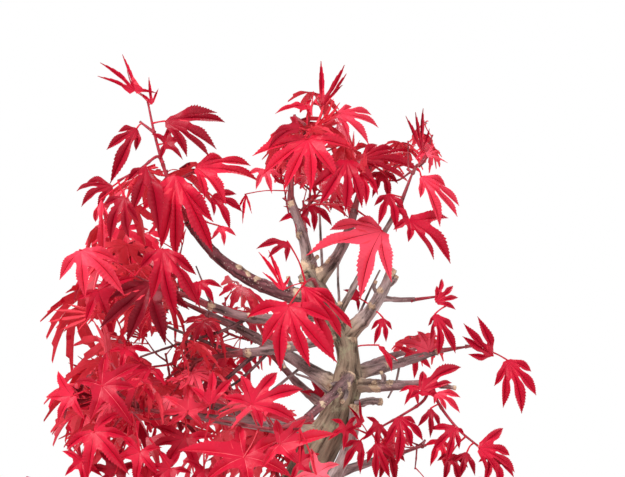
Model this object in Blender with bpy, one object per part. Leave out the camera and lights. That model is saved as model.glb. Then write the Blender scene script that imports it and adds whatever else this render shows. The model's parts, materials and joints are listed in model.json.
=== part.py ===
"""A small Japanese maple tree: a leaning trunk, pruned boughs and open masses of red palmate leaves.

Metres, +Z up. The origin is at ground level in the middle of the trunk's flat cut. +X runs to the right of
the tree's front, and the front faces -Y. Bearings are degrees round +Z from +X towards +Y, and rises are
degrees above the horizon.
"""

import math
import random
from dataclasses import dataclass

import bmesh
import bpy
import numpy as np
from mathutils import Matrix, Vector
from mathutils.bvhtree import BVHTree

MM = 0.001
CLEARANCE = 0.35 * MM  # between neighbouring solids
UP = Vector((0, 0, 1))

# The trunk: height, sideways and backward offset and radius, in millimetres, from the ground to the fork.
TRUNK_STATIONS = (
    (0, 0, 0, 31),
    (43, -2, 1, 26.5),
    (99, -8, 4, 24.5),
    (163, -20, 8, 23.5),
    (235, -29, 11, 22.5),
    (315, -21, 10, 20.5),
    (390, 6, 2, 18),
    (448, 37, -3, 14.5),
    (486, 46, -2, 10),
    (522, 42, 0, 8.3),
    (576, 9, 0, 6.2),
)
TRUNK_SIDES = 16
ROOT_BEARINGS = (14, 66, 121, 173, 226, 270, 322)  # of the surface roots that make the flare
ROOT_REACH = 22 * MM
ROOT_WIDTH = 17  # degrees
FLARE_HEIGHT = 26 * MM
LIMB_STEP = 24  # millimetres between the stations of a bough


@dataclass
class Limb:
    """A tapering bough: it leaves the middle of its parent at a height and bends evenly to its tip."""

    name: str
    parent: str
    height: float  # millimetres above the ground
    bearing: tuple  # at the foot and at the tip
    rise: tuple
    length: float  # millimetres
    radius: tuple  # millimetres, at the foot and at the tip


LIMBS = [
    Limb("leader_left", "trunk", 569, (180, 180), (84, 68), 72, (5.3, 3.4)),
    Limb("leader_right", "trunk", 565, (2, 14), (42, 80), 77, (5.9, 3.5)),
    Limb("bough_right", "trunk", 519, (352, 344), (36, 72), 75, (7.0, 4.0)),
    Limb("bough_left_high", "trunk", 552, (184, 198), (2, 58), 144, (7.0, 4.0)),
    Limb("bough_left_upper", "trunk", 542, (196, 188), (-18, 24), 112, (5.0, 3.4)),
    Limb("bough_left_mid", "trunk", 522, (188, 184), (-18, -4), 90, (5.3, 3.7)),
    Limb("bough_right_tall", "trunk", 533, (348, 338), (62, 58), 118, (2.9, 2.2)),
    Limb("bough_inner", "trunk", 547, (250, 262), (8, 36), 29, (3.7, 2.6)),
    Limb("spur_right", "bough_right", 553, (-10, 0), (-6, 2), 32, (2.4, 1.9)),
    Limb("bough_right_mid", "trunk", 485, (48, 34), (4, 14), 112, (5.9, 3.0)),
    Limb("bough_right_low", "trunk", 477, (338, 346), (-2, 6), 80, (5.8, 3.2)),
    Limb("bough_front", "trunk", 483, (276, 222), (4, -34), 109, (5.4, 3.5)),
    Limb("riser_front", "trunk", 354, (-44, 20), (26, 88), 133, (6.9, 4.8)),
    Limb("bough_back_high", "trunk", 545, (96, 110), (18, 48), 83, (4.8, 2.6)),
    Limb("bough_back_right", "trunk", 480, (76, 50), (10, 8), 128, (5.4, 2.6)),
    Limb("bough_back_left", "trunk", 470, (150, 158), (30, 22), 154, (6.7, 2.9)),
    Limb("bough_back_centre", "trunk", 449, (118, 124), (14, 30), 106, (5.4, 2.7)),
    Limb("bough_left_back", "trunk", 424, (162, 148), (22, 8), 128, (6.2, 2.9)),
    Limb("bough_left_front", "trunk", 431, (204, 206), (12, 8), 134, (6.4, 2.9)),
    Limb("bough_low_left", "trunk", 293, (178, 186), (34, 2), 134, (7.7, 3.2)),
    Limb("bough_low_right", "trunk", 319, (8, 0), (26, 8), 147, (7.7, 3.2)),
    Limb("bough_low_back", "trunk", 344, (88, 96), (20, 8), 138, (6.7, 2.9)),
    Limb("bough_back_low_right", "trunk", 384, (50, 40), (12, 8), 125, (6.1, 2.7)),
    Limb("bough_low_front_left", "trunk", 369, (238, 232), (16, -2), 125, (6.2, 2.9)),
    Limb("bough_low_front_right", "trunk", 329, (300, 306), (24, 4), 134, (6.7, 2.9)),
    Limb("bough_low_back_left", "trunk", 309, (136, 142), (24, 4), 144, (6.9, 2.9)),
]


@dataclass
class Shoot:
    """One leading twig of a mass: its heading, its length in millimetres, and how far its rise turns."""

    bearing: float
    rise: float
    length: float
    lift: float = 12


@dataclass
class Mass:
    """A mass of foliage, which grows from the tip of its limb."""

    name: str
    limb: str
    seed: int
    shoots: list
    leaf_size: float = 1.0


def fan(bearing, rise, length, count=4, spread=46):
    """Leading twigs that open evenly to both sides of a heading, the middle one the longest."""
    shoots = [Shoot(bearing, rise, length)]
    for k in range(1, count):
        side = 1 if k % 2 else -1
        turn = side * spread * (0.7 + 0.5 * (k // 2))
        shoots.append(Shoot(bearing + turn, rise + 22 * (k % 3) - 12, length * (0.86 - 0.07 * k)))
    return shoots


MASSES = [
    Mass("foliage_left_high", "bough_left_high", 11, [
        Shoot(184, 66, 109, 14), Shoot(20, 40, 54), Shoot(188, 26, 61, -26), Shoot(226, -8, 54, -20),
        Shoot(150, 30, 48)], 0.92),
    Mass("foliage_crown_centre", "leader_left", 23, [
        Shoot(350, 58, 90, 22), Shoot(184, 12, 45, -8), Shoot(300, 34, 45), Shoot(120, 40, 48)], 0.9),
    Mass("foliage_crown_mid", "leader_right", 31, [
        Shoot(330, 76, 42), Shoot(350, 24, 45), Shoot(60, 40, 38), Shoot(280, 10, 32)], 0.8),
    Mass("foliage_crown_right", "bough_right_tall", 47, [
        Shoot(350, 74, 58, 10), Shoot(300, 24, 29), Shoot(8, 30, 29), Shoot(120, 20, 29)], 0.74),
    Mass("foliage_inner", "bough_inner", 61, [Shoot(256, 34, 54, -50), Shoot(300, 4, 32)]),
    Mass("foliage_right_small", "spur_right", 73, [Shoot(352, 10, 38), Shoot(320, -34, 32)], 0.66),
    Mass("foliage_right_mid", "bough_right_mid", 83, [
        Shoot(352, 4, 54, -8), Shoot(60, 10, 42), Shoot(300, -10, 42)], 0.8),
    Mass("foliage_right_low", "bough_right_low", 97, [
        Shoot(340, -14, 74, -26), Shoot(18, 6, 48), Shoot(262, -40, 64)], 0.9),
    Mass("foliage_left_centre", "bough_left_upper", 101, [
        Shoot(186, 30, 67, -20), Shoot(196, -22, 64, 10), Shoot(232, 10, 48)]),
    Mass("foliage_left_mid", "bough_left_mid", 107, [
        Shoot(190, -4, 70, -30), Shoot(232, -34, 48), Shoot(152, 6, 38)], 0.85),
    Mass("foliage_low_centre", "bough_front", 109, [
        Shoot(196, 2, 93), Shoot(262, 8, 54), Shoot(318, -6, 67)]),
    Mass("foliage_left_front", "bough_left_front", 113, fan(204, 8, 74)),
    Mass("foliage_back_top", "bough_back_high", 127, fan(96, 44, 67)),
    Mass("foliage_back_right", "bough_back_right", 131, fan(56, 2, 61)),
    Mass("foliage_back_left", "bough_back_left", 137, fan(158, 20, 80, count=5)),
    Mass("foliage_back_centre", "bough_back_centre", 191, fan(122, 26, 74)),
    Mass("foliage_left_back", "bough_left_back", 149, fan(160, 6, 77)),
    Mass("foliage_low_left", "bough_low_left", 151, fan(186, 6, 86, count=5)),
    Mass("foliage_low_right", "bough_low_right", 157, fan(2, 4, 80, count=5)),
    Mass("foliage_low_back", "bough_low_back", 163, fan(94, 12, 83)),
    Mass("foliage_back_low_right", "bough_back_low_right", 167, fan(44, 6, 74)),
    Mass("foliage_low_front_left", "bough_low_front_left", 173, fan(232, 2, 80)),
    Mass("foliage_low_front_right", "bough_low_front_right", 179, fan(304, 2, 80)),
    Mass("foliage_low_back_left", "bough_low_back_left", 181, fan(142, 8, 83)),
]

# Leaves: the central lobe's length, and each lobe's angle from it and share of its length.
LEAF_LENGTH = 64 * MM
YOUNG_LEAF_LENGTH = 45 * MM
LEAF_LOBES = ((-104, 0.52), (-52, 0.84), (0, 1.0), (52, 0.84), (104, 0.52))
LEAF_NOTCH = 0.34  # of the central lobe's length, from the stalk to the bottom of a notch
LEAF_THICKNESS = 2.0 * MM  # at the stalk, thinning to the edges
LEAF_BASE = 3.5 * MM  # from the stalk's end back to the blade's edge
LEAF_TRIES = 6  # ways that a leaf is turned before its site stays bare
SMALLEST_LEAF = 0.72  # of the full size, for the last way
STALK_LENGTH = 32 * MM
STALK_RADIUS = 0.8 * MM
STALK_SUNK = 0.24 * MM  # past the middle of the twig
TIP_BACK = 2.6 * MM  # from a twig's end to the roots of its last leaves
NODE_STEP = 30 * MM  # between the pairs of leaves along a twig
TWIG_FOOT = 3.0 * MM
TWIG_TIP = 2.0 * MM
MASS_REACH = 125 * MM  # of a leaf's tip from its mass's twigs
LOWEST_LEAF = 190 * MM
SLIVER = 0.04 * MM  # shorter edges are left out where stalks and twigs meet


def heading(bearing, rise):
    """Unit vector at a bearing and a rise, both in degrees."""
    turn, lift = math.radians(bearing), math.radians(rise)
    return Vector((math.cos(turn) * math.cos(lift), math.sin(turn) * math.cos(lift), math.sin(lift)))


def between(ends, share):
    """The value at a share of the way from the first end to the second."""
    return ends[0] + (ends[1] - ends[0]) * share


# ---------------------------------------------------------------- meshes


def new_object(name, mesh, material, collection):
    """Links a mesh into the collection as an object with one material."""
    found = bpy.data.objects.new(name, mesh)
    collection.objects.link(found)
    if material is not None:
        mesh.materials.clear()
        mesh.materials.append(material)
    return found


def loft(name, rings, material, collection):
    """A closed body through rings of as many points each, capped flat at both ends."""
    shape = bmesh.new()
    rows = [[shape.verts.new(point) for point in ring] for ring in rings]
    for lower, upper in zip(rows, rows[1:]):
        for k in range(len(lower)):
            after = (k + 1) % len(lower)
            shape.faces.new((lower[k], lower[after], upper[after], upper[k]))
    shape.faces.new(reversed(rows[0]))
    shape.faces.new(rows[-1])
    bmesh.ops.recalc_face_normals(shape, faces=shape.faces)
    mesh = bpy.data.meshes.new(name)
    shape.to_mesh(mesh)
    shape.free()
    return new_object(name, mesh, material, collection)


def evaluated_mesh(source):
    """A copy of an object's mesh with its modifiers or its curve bevel applied."""
    graph = bpy.context.evaluated_depsgraph_get()
    graph.update()
    return bpy.data.meshes.new_from_object(source.evaluated_get(graph))


def tube(name, stations, material, collection, swell=0.0):
    """A tapering round limb through (place, radius) stations, larger on every side by swell."""
    (inner, _), (tip, narrow) = stations[-2:]
    stations = stations[:-1] + [(tip + (tip - inner).normalized() * swell, narrow)]
    curve = bpy.data.curves.new(name, "CURVE")
    curve.dimensions = "3D"
    curve.bevel_depth = 1.0
    curve.bevel_resolution = 1
    curve.use_fill_caps = True
    spline = curve.splines.new("POLY")
    spline.points.add(len(stations) - 1)
    for point, (place, radius) in zip(spline.points, stations):
        point.co = (*place, 1)
        point.radius = radius + swell
    guide = bpy.data.objects.new(name + "_curve", curve)
    collection.objects.link(guide)
    mesh = evaluated_mesh(guide)
    bpy.data.objects.remove(guide)
    shape = bmesh.new()
    shape.from_mesh(mesh)
    bmesh.ops.remove_doubles(shape, verts=shape.verts, dist=0.001 * MM)
    bmesh.ops.recalc_face_normals(shape, faces=shape.faces)
    shape.to_mesh(mesh)
    shape.free()
    return new_object(name, mesh, material, collection)


def surface_tree(source):
    """A search tree of an object's triangles, for finding what touches it."""
    return BVHTree.FromObject(source, bpy.context.evaluated_depsgraph_get())


# ---------------------------------------------------------------- trunk and boughs


def trunk_line():
    """(place, radius) down the trunk's middle, smoothed between its stations."""
    rows = [(Vector((x, y, z)) * MM, radius * MM) for z, x, y, radius in TRUNK_STATIONS]
    line = []
    for k in range(len(rows) - 1):
        before = rows[max(k - 1, 0)]
        after = rows[min(k + 2, len(rows) - 1)]
        (start, wide), (end, narrow) = rows[k], rows[k + 1]
        line.append(rows[k])
        middle = (start + end) * 0.5625 - (before[0] + after[0]) * 0.0625
        line.append((middle, (wide + narrow) / 2))
    return line + [rows[-1]]


def root_swell(bearing, height):
    """How far the surface roots push the trunk outwards at a bearing and a height."""
    fade = math.exp(-height / FLARE_HEIGHT)
    near = [abs((bearing - root + 180) % 360 - 180) for root in ROOT_BEARINGS]
    return ROOT_REACH * fade * sum(math.exp(-((gap / ROOT_WIDTH) ** 2)) for gap in near)


def trunk_rings(swell=0.0):
    """Rings square to the trunk's middle line, level at its foot, with the root flare."""
    line = trunk_line()
    rings = []
    end, narrow = line[-1]
    line[-1] = (end + (end - line[-2][0]).normalized() * swell, narrow)
    for k, (place, radius) in enumerate(line):
        ahead = line[min(k + 1, len(line) - 1)][0] - line[max(k - 1, 0)][0]
        along = UP if k == 0 else ahead.normalized()
        side = Vector((1, 0, 0)) - along * along.x
        side.normalize()
        front = along.cross(side)
        ring = []
        for step in range(TRUNK_SIDES):
            turn = 2 * math.pi * step / TRUNK_SIDES
            reach = radius + swell + root_swell(math.degrees(turn), place.z)
            ring.append(place + (side * math.cos(turn) + front * math.sin(turn)) * reach)
        rings.append(ring)
    return rings


def limb_line(limb, start):
    """(place, radius) from a limb's foot to its tip, bending evenly and swelling a little at its nodes."""
    steps = max(3, round(limb.length / LIMB_STEP))
    place = start.copy()
    line = [(place.copy(), limb.radius[0] * MM)]
    for k in range(steps):
        share = (k + 0.5) / steps
        place += heading(between(limb.bearing, share), between(limb.rise, share)) * (limb.length * MM / steps)
        swelling = 1.09 if k % 3 == 1 else 1.0
        line.append((place.copy(), between(limb.radius, (k + 1) / steps) * MM * swelling))
    line[-1] = (line[-1][0], limb.radius[1] * MM)
    return line


def point_at_height(line, height):
    """The point of a rising line at a height."""
    for (low, _), (high, _) in zip(line, line[1:]):
        if low.z <= height <= high.z:
            return low.lerp(high, (height - low.z) / (high.z - low.z))
    raise ValueError("the limb doesn't reach that height")


def limb_lines():
    """The middle line of the trunk and of every bough, by name."""
    lines = {"trunk": trunk_line()}
    for limb in LIMBS:
        lines[limb.name] = limb_line(limb, point_at_height(lines[limb.parent], limb.height * MM))
    return lines


def build_limbs(lines, trunk_bark, bough_bark, collection, cutters):
    """The trunk and its boughs, each bough cut clear of the limbs that it meets."""
    made = [loft("trunk", trunk_rings(), trunk_bark, collection)]
    grown = [loft("trunk_cutter", trunk_rings(CLEARANCE), None, cutters)]
    trees = [surface_tree(grown[0])]
    for limb in LIMBS:
        bough = tube(limb.name, lines[limb.name], bough_bark, collection)
        own_tree = surface_tree(bough)
        for cutter, tree in zip(grown, trees):
            if not own_tree.overlap(tree):
                continue
            cut = bough.modifiers.new("clear_of_" + cutter.name, "BOOLEAN")
            cut.operation = "DIFFERENCE"
            cut.object = cutter
        made.append(bough)
        grown.append(tube(limb.name + "_cutter", lines[limb.name], None, cutters, CLEARANCE))
        trees.append(surface_tree(grown[-1]))
    return made, trees


# ---------------------------------------------------------------- how a mass grows


@dataclass
class Leaf:
    """A leaf: where its stalk is rooted, where the blade begins, and how the blade lies."""

    root: Vector
    base: Vector
    axis: Vector  # along the central lobe
    normal: Vector  # out of the upper side
    length: float
    spread: float  # share of the full angle between the lobes
    droop: float  # how far the lobes' tips fall, as a share of their length


def leaf_at(node, outward, along, rng, size):
    """A leaf on a stalk that leaves its shoot outwards and upwards, its blade hanging from the end."""
    length = LEAF_LENGTH * size * rng.uniform(0.9, 1.1)
    stalk = (outward * 0.9 + along * rng.uniform(0.2, 0.7) + UP * rng.uniform(0.0, 0.6)).normalized()
    base = node + stalk * STALK_LENGTH * size * rng.uniform(0.7, 1.2)
    level = Vector((stalk.x, stalk.y, 0))
    level = level.normalized() if level.length > 0.05 else heading(rng.uniform(0, 360), 0)
    level.rotate(Matrix.Rotation(math.radians(rng.uniform(-35, 35)), 3, UP))
    fall = math.radians(rng.uniform(8, 62))
    axis = level * math.cos(fall) - UP * math.sin(fall)
    normal = level * math.sin(fall) + UP * math.cos(fall)
    normal.rotate(Matrix.Rotation(math.radians(rng.uniform(-28, 28)), 3, axis))
    root = node - stalk * STALK_SUNK
    return Leaf(root, base, axis, normal, length, rng.uniform(0.82, 1.02), rng.uniform(0.12, 0.4))


def spire_at(tip, along, rng, size):
    """The upright, half-opened leaf at the very end of a shoot."""
    side = along.orthogonal().normalized()
    side.rotate(Matrix.Rotation(rng.uniform(0, 2 * math.pi), 3, along))
    axis = (along + side * 0.25).normalized()
    normal = (side - axis * side.dot(axis)).normalized()
    length = YOUNG_LEAF_LENGTH * size * rng.uniform(0.85, 1.1)
    return Leaf(tip - along * 1.5 * MM, tip + along * 2 * MM, axis, normal, length, 0.42, -0.12)


def shoot_line(shoot, start, first):
    """The places along a leading twig, one each node from its foot to its tip."""
    steps = max(2, round(shoot.length * MM / NODE_STEP))
    place = start.copy()
    line = [place.copy()]
    for k in range(steps):
        rise = shoot.rise + shoot.lift * (k + 0.5) / steps
        ahead = heading(shoot.bearing, rise)
        if k == 0 and first is not None:
            ahead = (ahead + first).normalized()
        place += ahead * (shoot.length * MM / steps)
        line.append(place.copy())
    return line


def twigs_of(mass, lines):
    """The mass's twigs as lines from foot to tip: its stem first, then those that branch from the stem."""
    (inner, _), (tip, _) = lines[mass.limb][-2:]
    ahead = (tip - inner).normalized()
    stem = shoot_line(mass.shoots[0], tip + ahead * CLEARANCE, ahead)
    twigs = [stem]
    for k, shoot in enumerate(mass.shoots[1:]):
        node = 1 + round(k * (len(stem) - 2) / len(mass.shoots))
        start = stem[node] - heading(shoot.bearing, shoot.rise) * (0.2 + 0.1 * k) * MM
        twigs.append(shoot_line(shoot, start, None))
    return twigs


def sites_of(twig, rng):
    """Where a twig bears leaves: (node, outward, along) for each side of each node, at right angles in turn."""
    turn = rng.uniform(0, math.pi)
    for k in range(len(twig) - 1, 0, -1):
        along = (twig[k] - twig[k - 1]).normalized()
        side = along.cross(UP)
        side = side.normalized() if side.length > 0.2 else Vector((1, 0, 0))
        side.rotate(Matrix.Rotation(turn, 3, along))
        node = twig[k] - along * (TIP_BACK if k == len(twig) - 1 else 0)
        yield node, side, along
        yield node, -side, along
        turn += math.radians(90 + rng.uniform(-15, 15))


# ---------------------------------------------------------------- solids of a mass


def leaf_mesh(leaf):
    """Points and faces of a closed palmate leaf, thin at its edges, drawn out into its stalk."""
    across = leaf.normal.cross(leaf.axis)

    def at(angle, share, height):
        turn = math.radians(angle)
        return leaf.base + (leaf.axis * math.cos(turn) + across * math.sin(turn)) * share + leaf.normal * height

    rim = [at(-150, LEAF_BASE, 0)]
    for k, (angle, share) in enumerate(LEAF_LOBES):
        reach = share * leaf.length
        rim.append(at(angle * leaf.spread, reach * (1 - 0.3 * abs(leaf.droop)), -reach * leaf.droop))
        if k < len(LEAF_LOBES) - 1:
            middle = (angle + LEAF_LOBES[k + 1][0]) / 2
            notch = LEAF_NOTCH * leaf.length * (1 - 0.002 * abs(middle))
            rim.append(at(middle * leaf.spread, notch, -notch * leaf.droop * 0.5))
    rim.append(at(150, LEAF_BASE, 0))
    top = leaf.base + leaf.normal * LEAF_THICKNESS / 2
    under = leaf.base - leaf.normal * LEAF_THICKNESS / 2
    stalk = (leaf.root - leaf.base).normalized()
    from_above = stalk.dot(leaf.normal) > 0
    ridgeward = leaf.axis + (leaf.normal if from_above else -leaf.normal)
    ridgeward = (ridgeward - stalk * ridgeward.dot(stalk)).normalized()
    side = stalk.cross(ridgeward)
    if (rim[0] - rim[-1]).dot(side) < 0:
        side = -side
    foot = [leaf.root + turn * STALK_RADIUS for turn in (
        side * 0.87 - ridgeward * 0.5, ridgeward, -side * 0.87 - ridgeward * 0.5)]
    last = len(rim) - 1
    points = rim + [top, under] + foot
    crown, keel, left, ridge, right = range(last + 1, last + 6)
    faces = [(crown, k, k + 1) for k in range(last)] + [(keel, k + 1, k) for k in range(last)]
    if from_above:
        faces += [(keel, 0, last), (crown, last, right, ridge), (last, 0, left, right)]
        faces += [(0, crown, ridge, left), (ridge, right, left)]
    else:
        faces += [(crown, last, 0), (keel, 0, left, ridge), (0, last, right, left)]
        faces += [(last, keel, ridge, right), (left, right, ridge)]
    return points, faces


BLADE_FACES = slice(0, 2 * (2 * len(LEAF_LOBES)) + 1)


def mesh_of(name, points, faces):
    """A mesh of these points and faces."""
    mesh = bpy.data.meshes.new(name)
    mesh.from_pydata(points, [], faces)
    mesh.update()
    return mesh


def twig_rings(twig, reach, level=None):
    """Three points round each node of a twig, thinning to its tip; the first ring square to level."""
    rings = []
    side = None
    for k, place in enumerate(twig):
        along = (twig[min(k + 1, len(twig) - 1)] - twig[max(k - 1, 0)]).normalized()
        if k == 0 and level is not None:
            along = level
        side = along.orthogonal() if side is None else side - along * side.dot(along)
        side.normalize()
        other = along.cross(side)
        radius = between(reach, k / (len(twig) - 1))
        turns = [2 * math.pi * step / 3 for step in range(3)]
        rings.append([place + (side * math.cos(turn) + other * math.sin(turn)) * radius for turn in turns])
    return rings


class Twigs:
    """The straight lengths of a set of twigs, for measuring how far points lie from them."""

    def __init__(self, twigs):
        pairs = [(a, b) for twig in twigs for a, b in zip(twig, twig[1:])]
        self.start = np.array([tuple(a) for a, _ in pairs])
        self.along = np.array([tuple(b - a) for a, b in pairs])

    def distance(self, points):
        """The distance from each point to the nearest twig."""
        reach = points[:, None, :] - self.start
        share = np.clip((reach * self.along).sum(2) / (self.along**2).sum(1), 0, 1)
        return np.linalg.norm(reach - share[..., None] * self.along, axis=2).min(1)


@dataclass
class Space:
    """The room that a mass keeps to: nearer to its own twigs than to any other mass's, and off the limbs."""

    own: Twigs
    others: Twigs
    taken: list  # search trees of the limbs and of the masses that are already grown

    def holds(self, points, faces):
        """Whether a twig or leaf of these points and faces is inside."""
        places = np.array([tuple(point) for point in points])
        own = self.own.distance(places)
        inside = (own + 2 * CLEARANCE < self.others.distance(places)) & (own < MASS_REACH)
        if not inside.all() or places[:, 2].min() < LOWEST_LEAF:
            return False
        tree = BVHTree.FromPolygons(points, faces)
        return not any(tree.overlap(other) for other in self.taken)


def triangulate(mesh):
    """Splits a mesh's bent four-sided faces, so that a Boolean can't fold them another way."""
    shape = bmesh.new()
    shape.from_mesh(mesh)
    bmesh.ops.triangulate(shape, faces=shape.faces)
    shape.to_mesh(mesh)
    shape.free()


def keep_outermost(mesh):
    """Drops every loose scrap and sealed hollow from a mesh, which leaves its one largest body."""
    shape = bmesh.new()
    shape.from_mesh(mesh)
    left = set(shape.faces)
    bodies = []
    while left:
        body = {left.pop()}
        rim = list(body)
        while rim:
            near = {face for known in rim for edge in known.edges for face in edge.link_faces} - body
            body |= near
            rim = list(near)
        left -= body
        bodies.append(body)
    bodies.sort(key=len)
    for body in bodies[:-1]:
        bmesh.ops.delete(shape, geom=list(body), context="FACES")
    bmesh.ops.triangulate(shape, faces=shape.faces)
    bmesh.ops.dissolve_degenerate(shape, dist=SLIVER, edges=shape.edges)
    bmesh.ops.triangulate(shape, faces=shape.faces)
    shape.to_mesh(mesh)
    shape.free()


class Crowding:
    """The leaves that a mass already bears, so that no blade passes through another piece."""

    def __init__(self):
        self.whole = []
        self.blades = []

    def touches(self, points, faces):
        """Whether a new leaf's blade would cut any piece, or its stalk any blade."""
        blade = BVHTree.FromPolygons(points, faces[BLADE_FACES])
        leaf = BVHTree.FromPolygons(points, faces)
        return any(blade.overlap(tree) for tree in self.whole) or any(leaf.overlap(tree) for tree in self.blades)

    def blocks(self, points, faces):
        """Whether a new leaf meets a blade, whatever it does to the twigs."""
        leaf = BVHTree.FromPolygons(points, faces)
        return any(leaf.overlap(tree) for tree in self.blades)

    def add(self, points, faces):
        """Takes in a leaf."""
        self.whole.append(BVHTree.FromPolygons(points, faces))
        self.blades.append(BVHTree.FromPolygons(points, faces[BLADE_FACES]))


def grow_leaf(site, space, crowding, rng, full_size):
    """The first way of turning a leaf at a site that fits its room, as points and faces, or None."""
    for attempt in range(LEAF_TRIES):
        size = full_size * between((1.0, SMALLEST_LEAF), attempt / (LEAF_TRIES - 1))
        points, faces = leaf_mesh(leaf_at(*site, rng, size))
        if space.holds(points, faces) and not crowding.touches(points, faces):
            return points, faces
    return None


def build_twigs(twigs, space, crowding, parts, limb_ahead):
    """The twigs that keep to the space, each cut short where it would leave it."""
    grown = []
    for number, twig in enumerate(twigs):
        kept = len(twig)
        foot = TWIG_FOOT * (0.8 if number else 1.0)
        rings = twig_rings(twig, (foot, TWIG_TIP), None if number else limb_ahead)
        while number and kept > 1 and not space.holds(sum(rings[:kept], []), ring_faces(kept)):
            kept -= 1
        if kept > 1:
            piece = loft(f"twig_{number}", rings[:kept], None, parts)
            crowding.whole.append(surface_tree(piece))
            grown.append(twig[:kept])
    return grown


def build_leaves(mass, twigs, space, crowding, parts):
    """A spire at the end of each twig, and then the leaves of its nodes from the tip down."""
    rng = random.Random(mass.seed)
    leaves = []
    for twig in twigs:
        along = (twig[-1] - twig[-2]).normalized()
        spire = leaf_mesh(spire_at(twig[-1], along, rng, mass.leaf_size))
        if space.holds(*spire) and not crowding.blocks(*spire):
            crowding.add(*spire)
            leaves.append(spire)
        for site in sites_of(twig, rng):
            leaf = grow_leaf(site, space, crowding, rng, mass.leaf_size)
            if leaf:
                crowding.add(*leaf)
                leaves.append(leaf)
    for number, (points, faces) in enumerate(leaves):
        new_object(f"leaf_{number}", mesh_of(f"leaf_{number}", points, faces), None, parts)
    return len(leaves)


def ring_faces(count):
    """The faces round a twig of that many rings."""
    faces = []
    for k in range(count - 1):
        for step in range(3):
            after = (step + 1) % 3
            faces.append((3 * k + step, 3 * k + after, 3 * k + 3 + after, 3 * k + 3 + step))
    return faces


def fuse(name, parts, material, collection):
    """Joins a collection's pieces by one Boolean union and removes them."""
    for piece in parts.objects:
        triangulate(piece.data)
    stem = parts.objects["twig_0"]
    parts.objects.unlink(stem)
    collection.objects.link(stem)
    union = stem.modifiers.new("fuse", "BOOLEAN")
    union.operation = "UNION"
    union.operand_type = "COLLECTION"
    union.solver = "MANIFOLD"
    union.collection = parts
    mesh = evaluated_mesh(stem)
    for piece in list(parts.objects):
        bpy.data.objects.remove(piece)
    bpy.data.objects.remove(stem)
    bpy.data.collections.remove(parts)
    keep_outermost(mesh)
    return new_object(name, mesh, material, collection)


def build_masses(lines, trees, material, collection):
    """Every mass as a single solid, each in the room that its own twigs give it."""
    twigs = {mass.name: twigs_of(mass, lines) for mass in MASSES}
    taken = list(trees)
    total = 0
    for mass in MASSES:
        others = [twig for name, found in twigs.items() if name != mass.name for twig in found]
        space = Space(Twigs(twigs[mass.name]), Twigs(others), taken)
        parts = bpy.data.collections.new(mass.name + "_parts")
        bpy.context.scene.collection.children.link(parts)
        crowding = Crowding()
        (inner, _), (tip, _) = lines[mass.limb][-2:]
        grown = build_twigs(twigs[mass.name], space, crowding, parts, (tip - inner).normalized())
        leaves = build_leaves(mass, grown, space, crowding, parts)
        solid = fuse(mass.name, parts, material, collection)
        taken.append(surface_tree(solid))
        print(mass.name, leaves, "leaves", len(solid.data.polygons), "triangles")
        total += leaves
    print(total, "leaves")


# ---------------------------------------------------------------- the whole tree


def finish(name, colour, roughness):
    """A plain finish of one colour."""
    material = bpy.data.materials.new(name)
    material.use_nodes = True
    shader = material.node_tree.nodes["Principled BSDF"]
    shader.inputs["Base Color"].default_value = (*colour, 1)
    shader.inputs["Roughness"].default_value = roughness
    shader.inputs["Metallic"].default_value = 0.0
    return material


def main():
    """Clears the scene and builds the tree."""
    for old in list(bpy.data.objects):
        bpy.data.objects.remove(old)
    tree = bpy.data.collections.new("japanese_maple")
    cutters = bpy.data.collections.new("cutters")
    for group in (tree, cutters):
        bpy.context.scene.collection.children.link(group)
    trunk_bark = finish("trunk_bark", (0.27, 0.22, 0.17), 0.85)
    bough_bark = finish("bough_bark", (0.19, 0.12, 0.105), 0.75)
    red_leaf = finish("red_leaf", (0.66, 0.02, 0.045), 0.5)
    lines = limb_lines()
    limbs, trees = build_limbs(lines, trunk_bark, bough_bark, tree, cutters)
    build_masses(lines, trees, red_leaf, tree)
    for cutter in cutters.objects:
        cutter.hide_render = True
        cutter.display_type = "WIRE"
    for bough in limbs:
        bough.data.shade_smooth()


main()
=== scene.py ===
"""A small Japanese maple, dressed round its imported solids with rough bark, fine twigs and cut red leaves.

Metres, +Z up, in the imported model's own frame. +X runs to the right of the tree's front, and the front
faces -Y. Bearings are degrees round +Z from +X towards +Y, and rises are degrees above the horizon.
"""

import json
import logging
import math
from collections.abc import Iterator
from dataclasses import dataclass, field
from enum import Enum
from random import Random

import bmesh
import bpy
import numpy as np
from bpy.types import ID, Material, Node, NodeOutputs, NodeSocket, Object, ShaderNodeTree
from mathutils import Matrix, Vector

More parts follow.
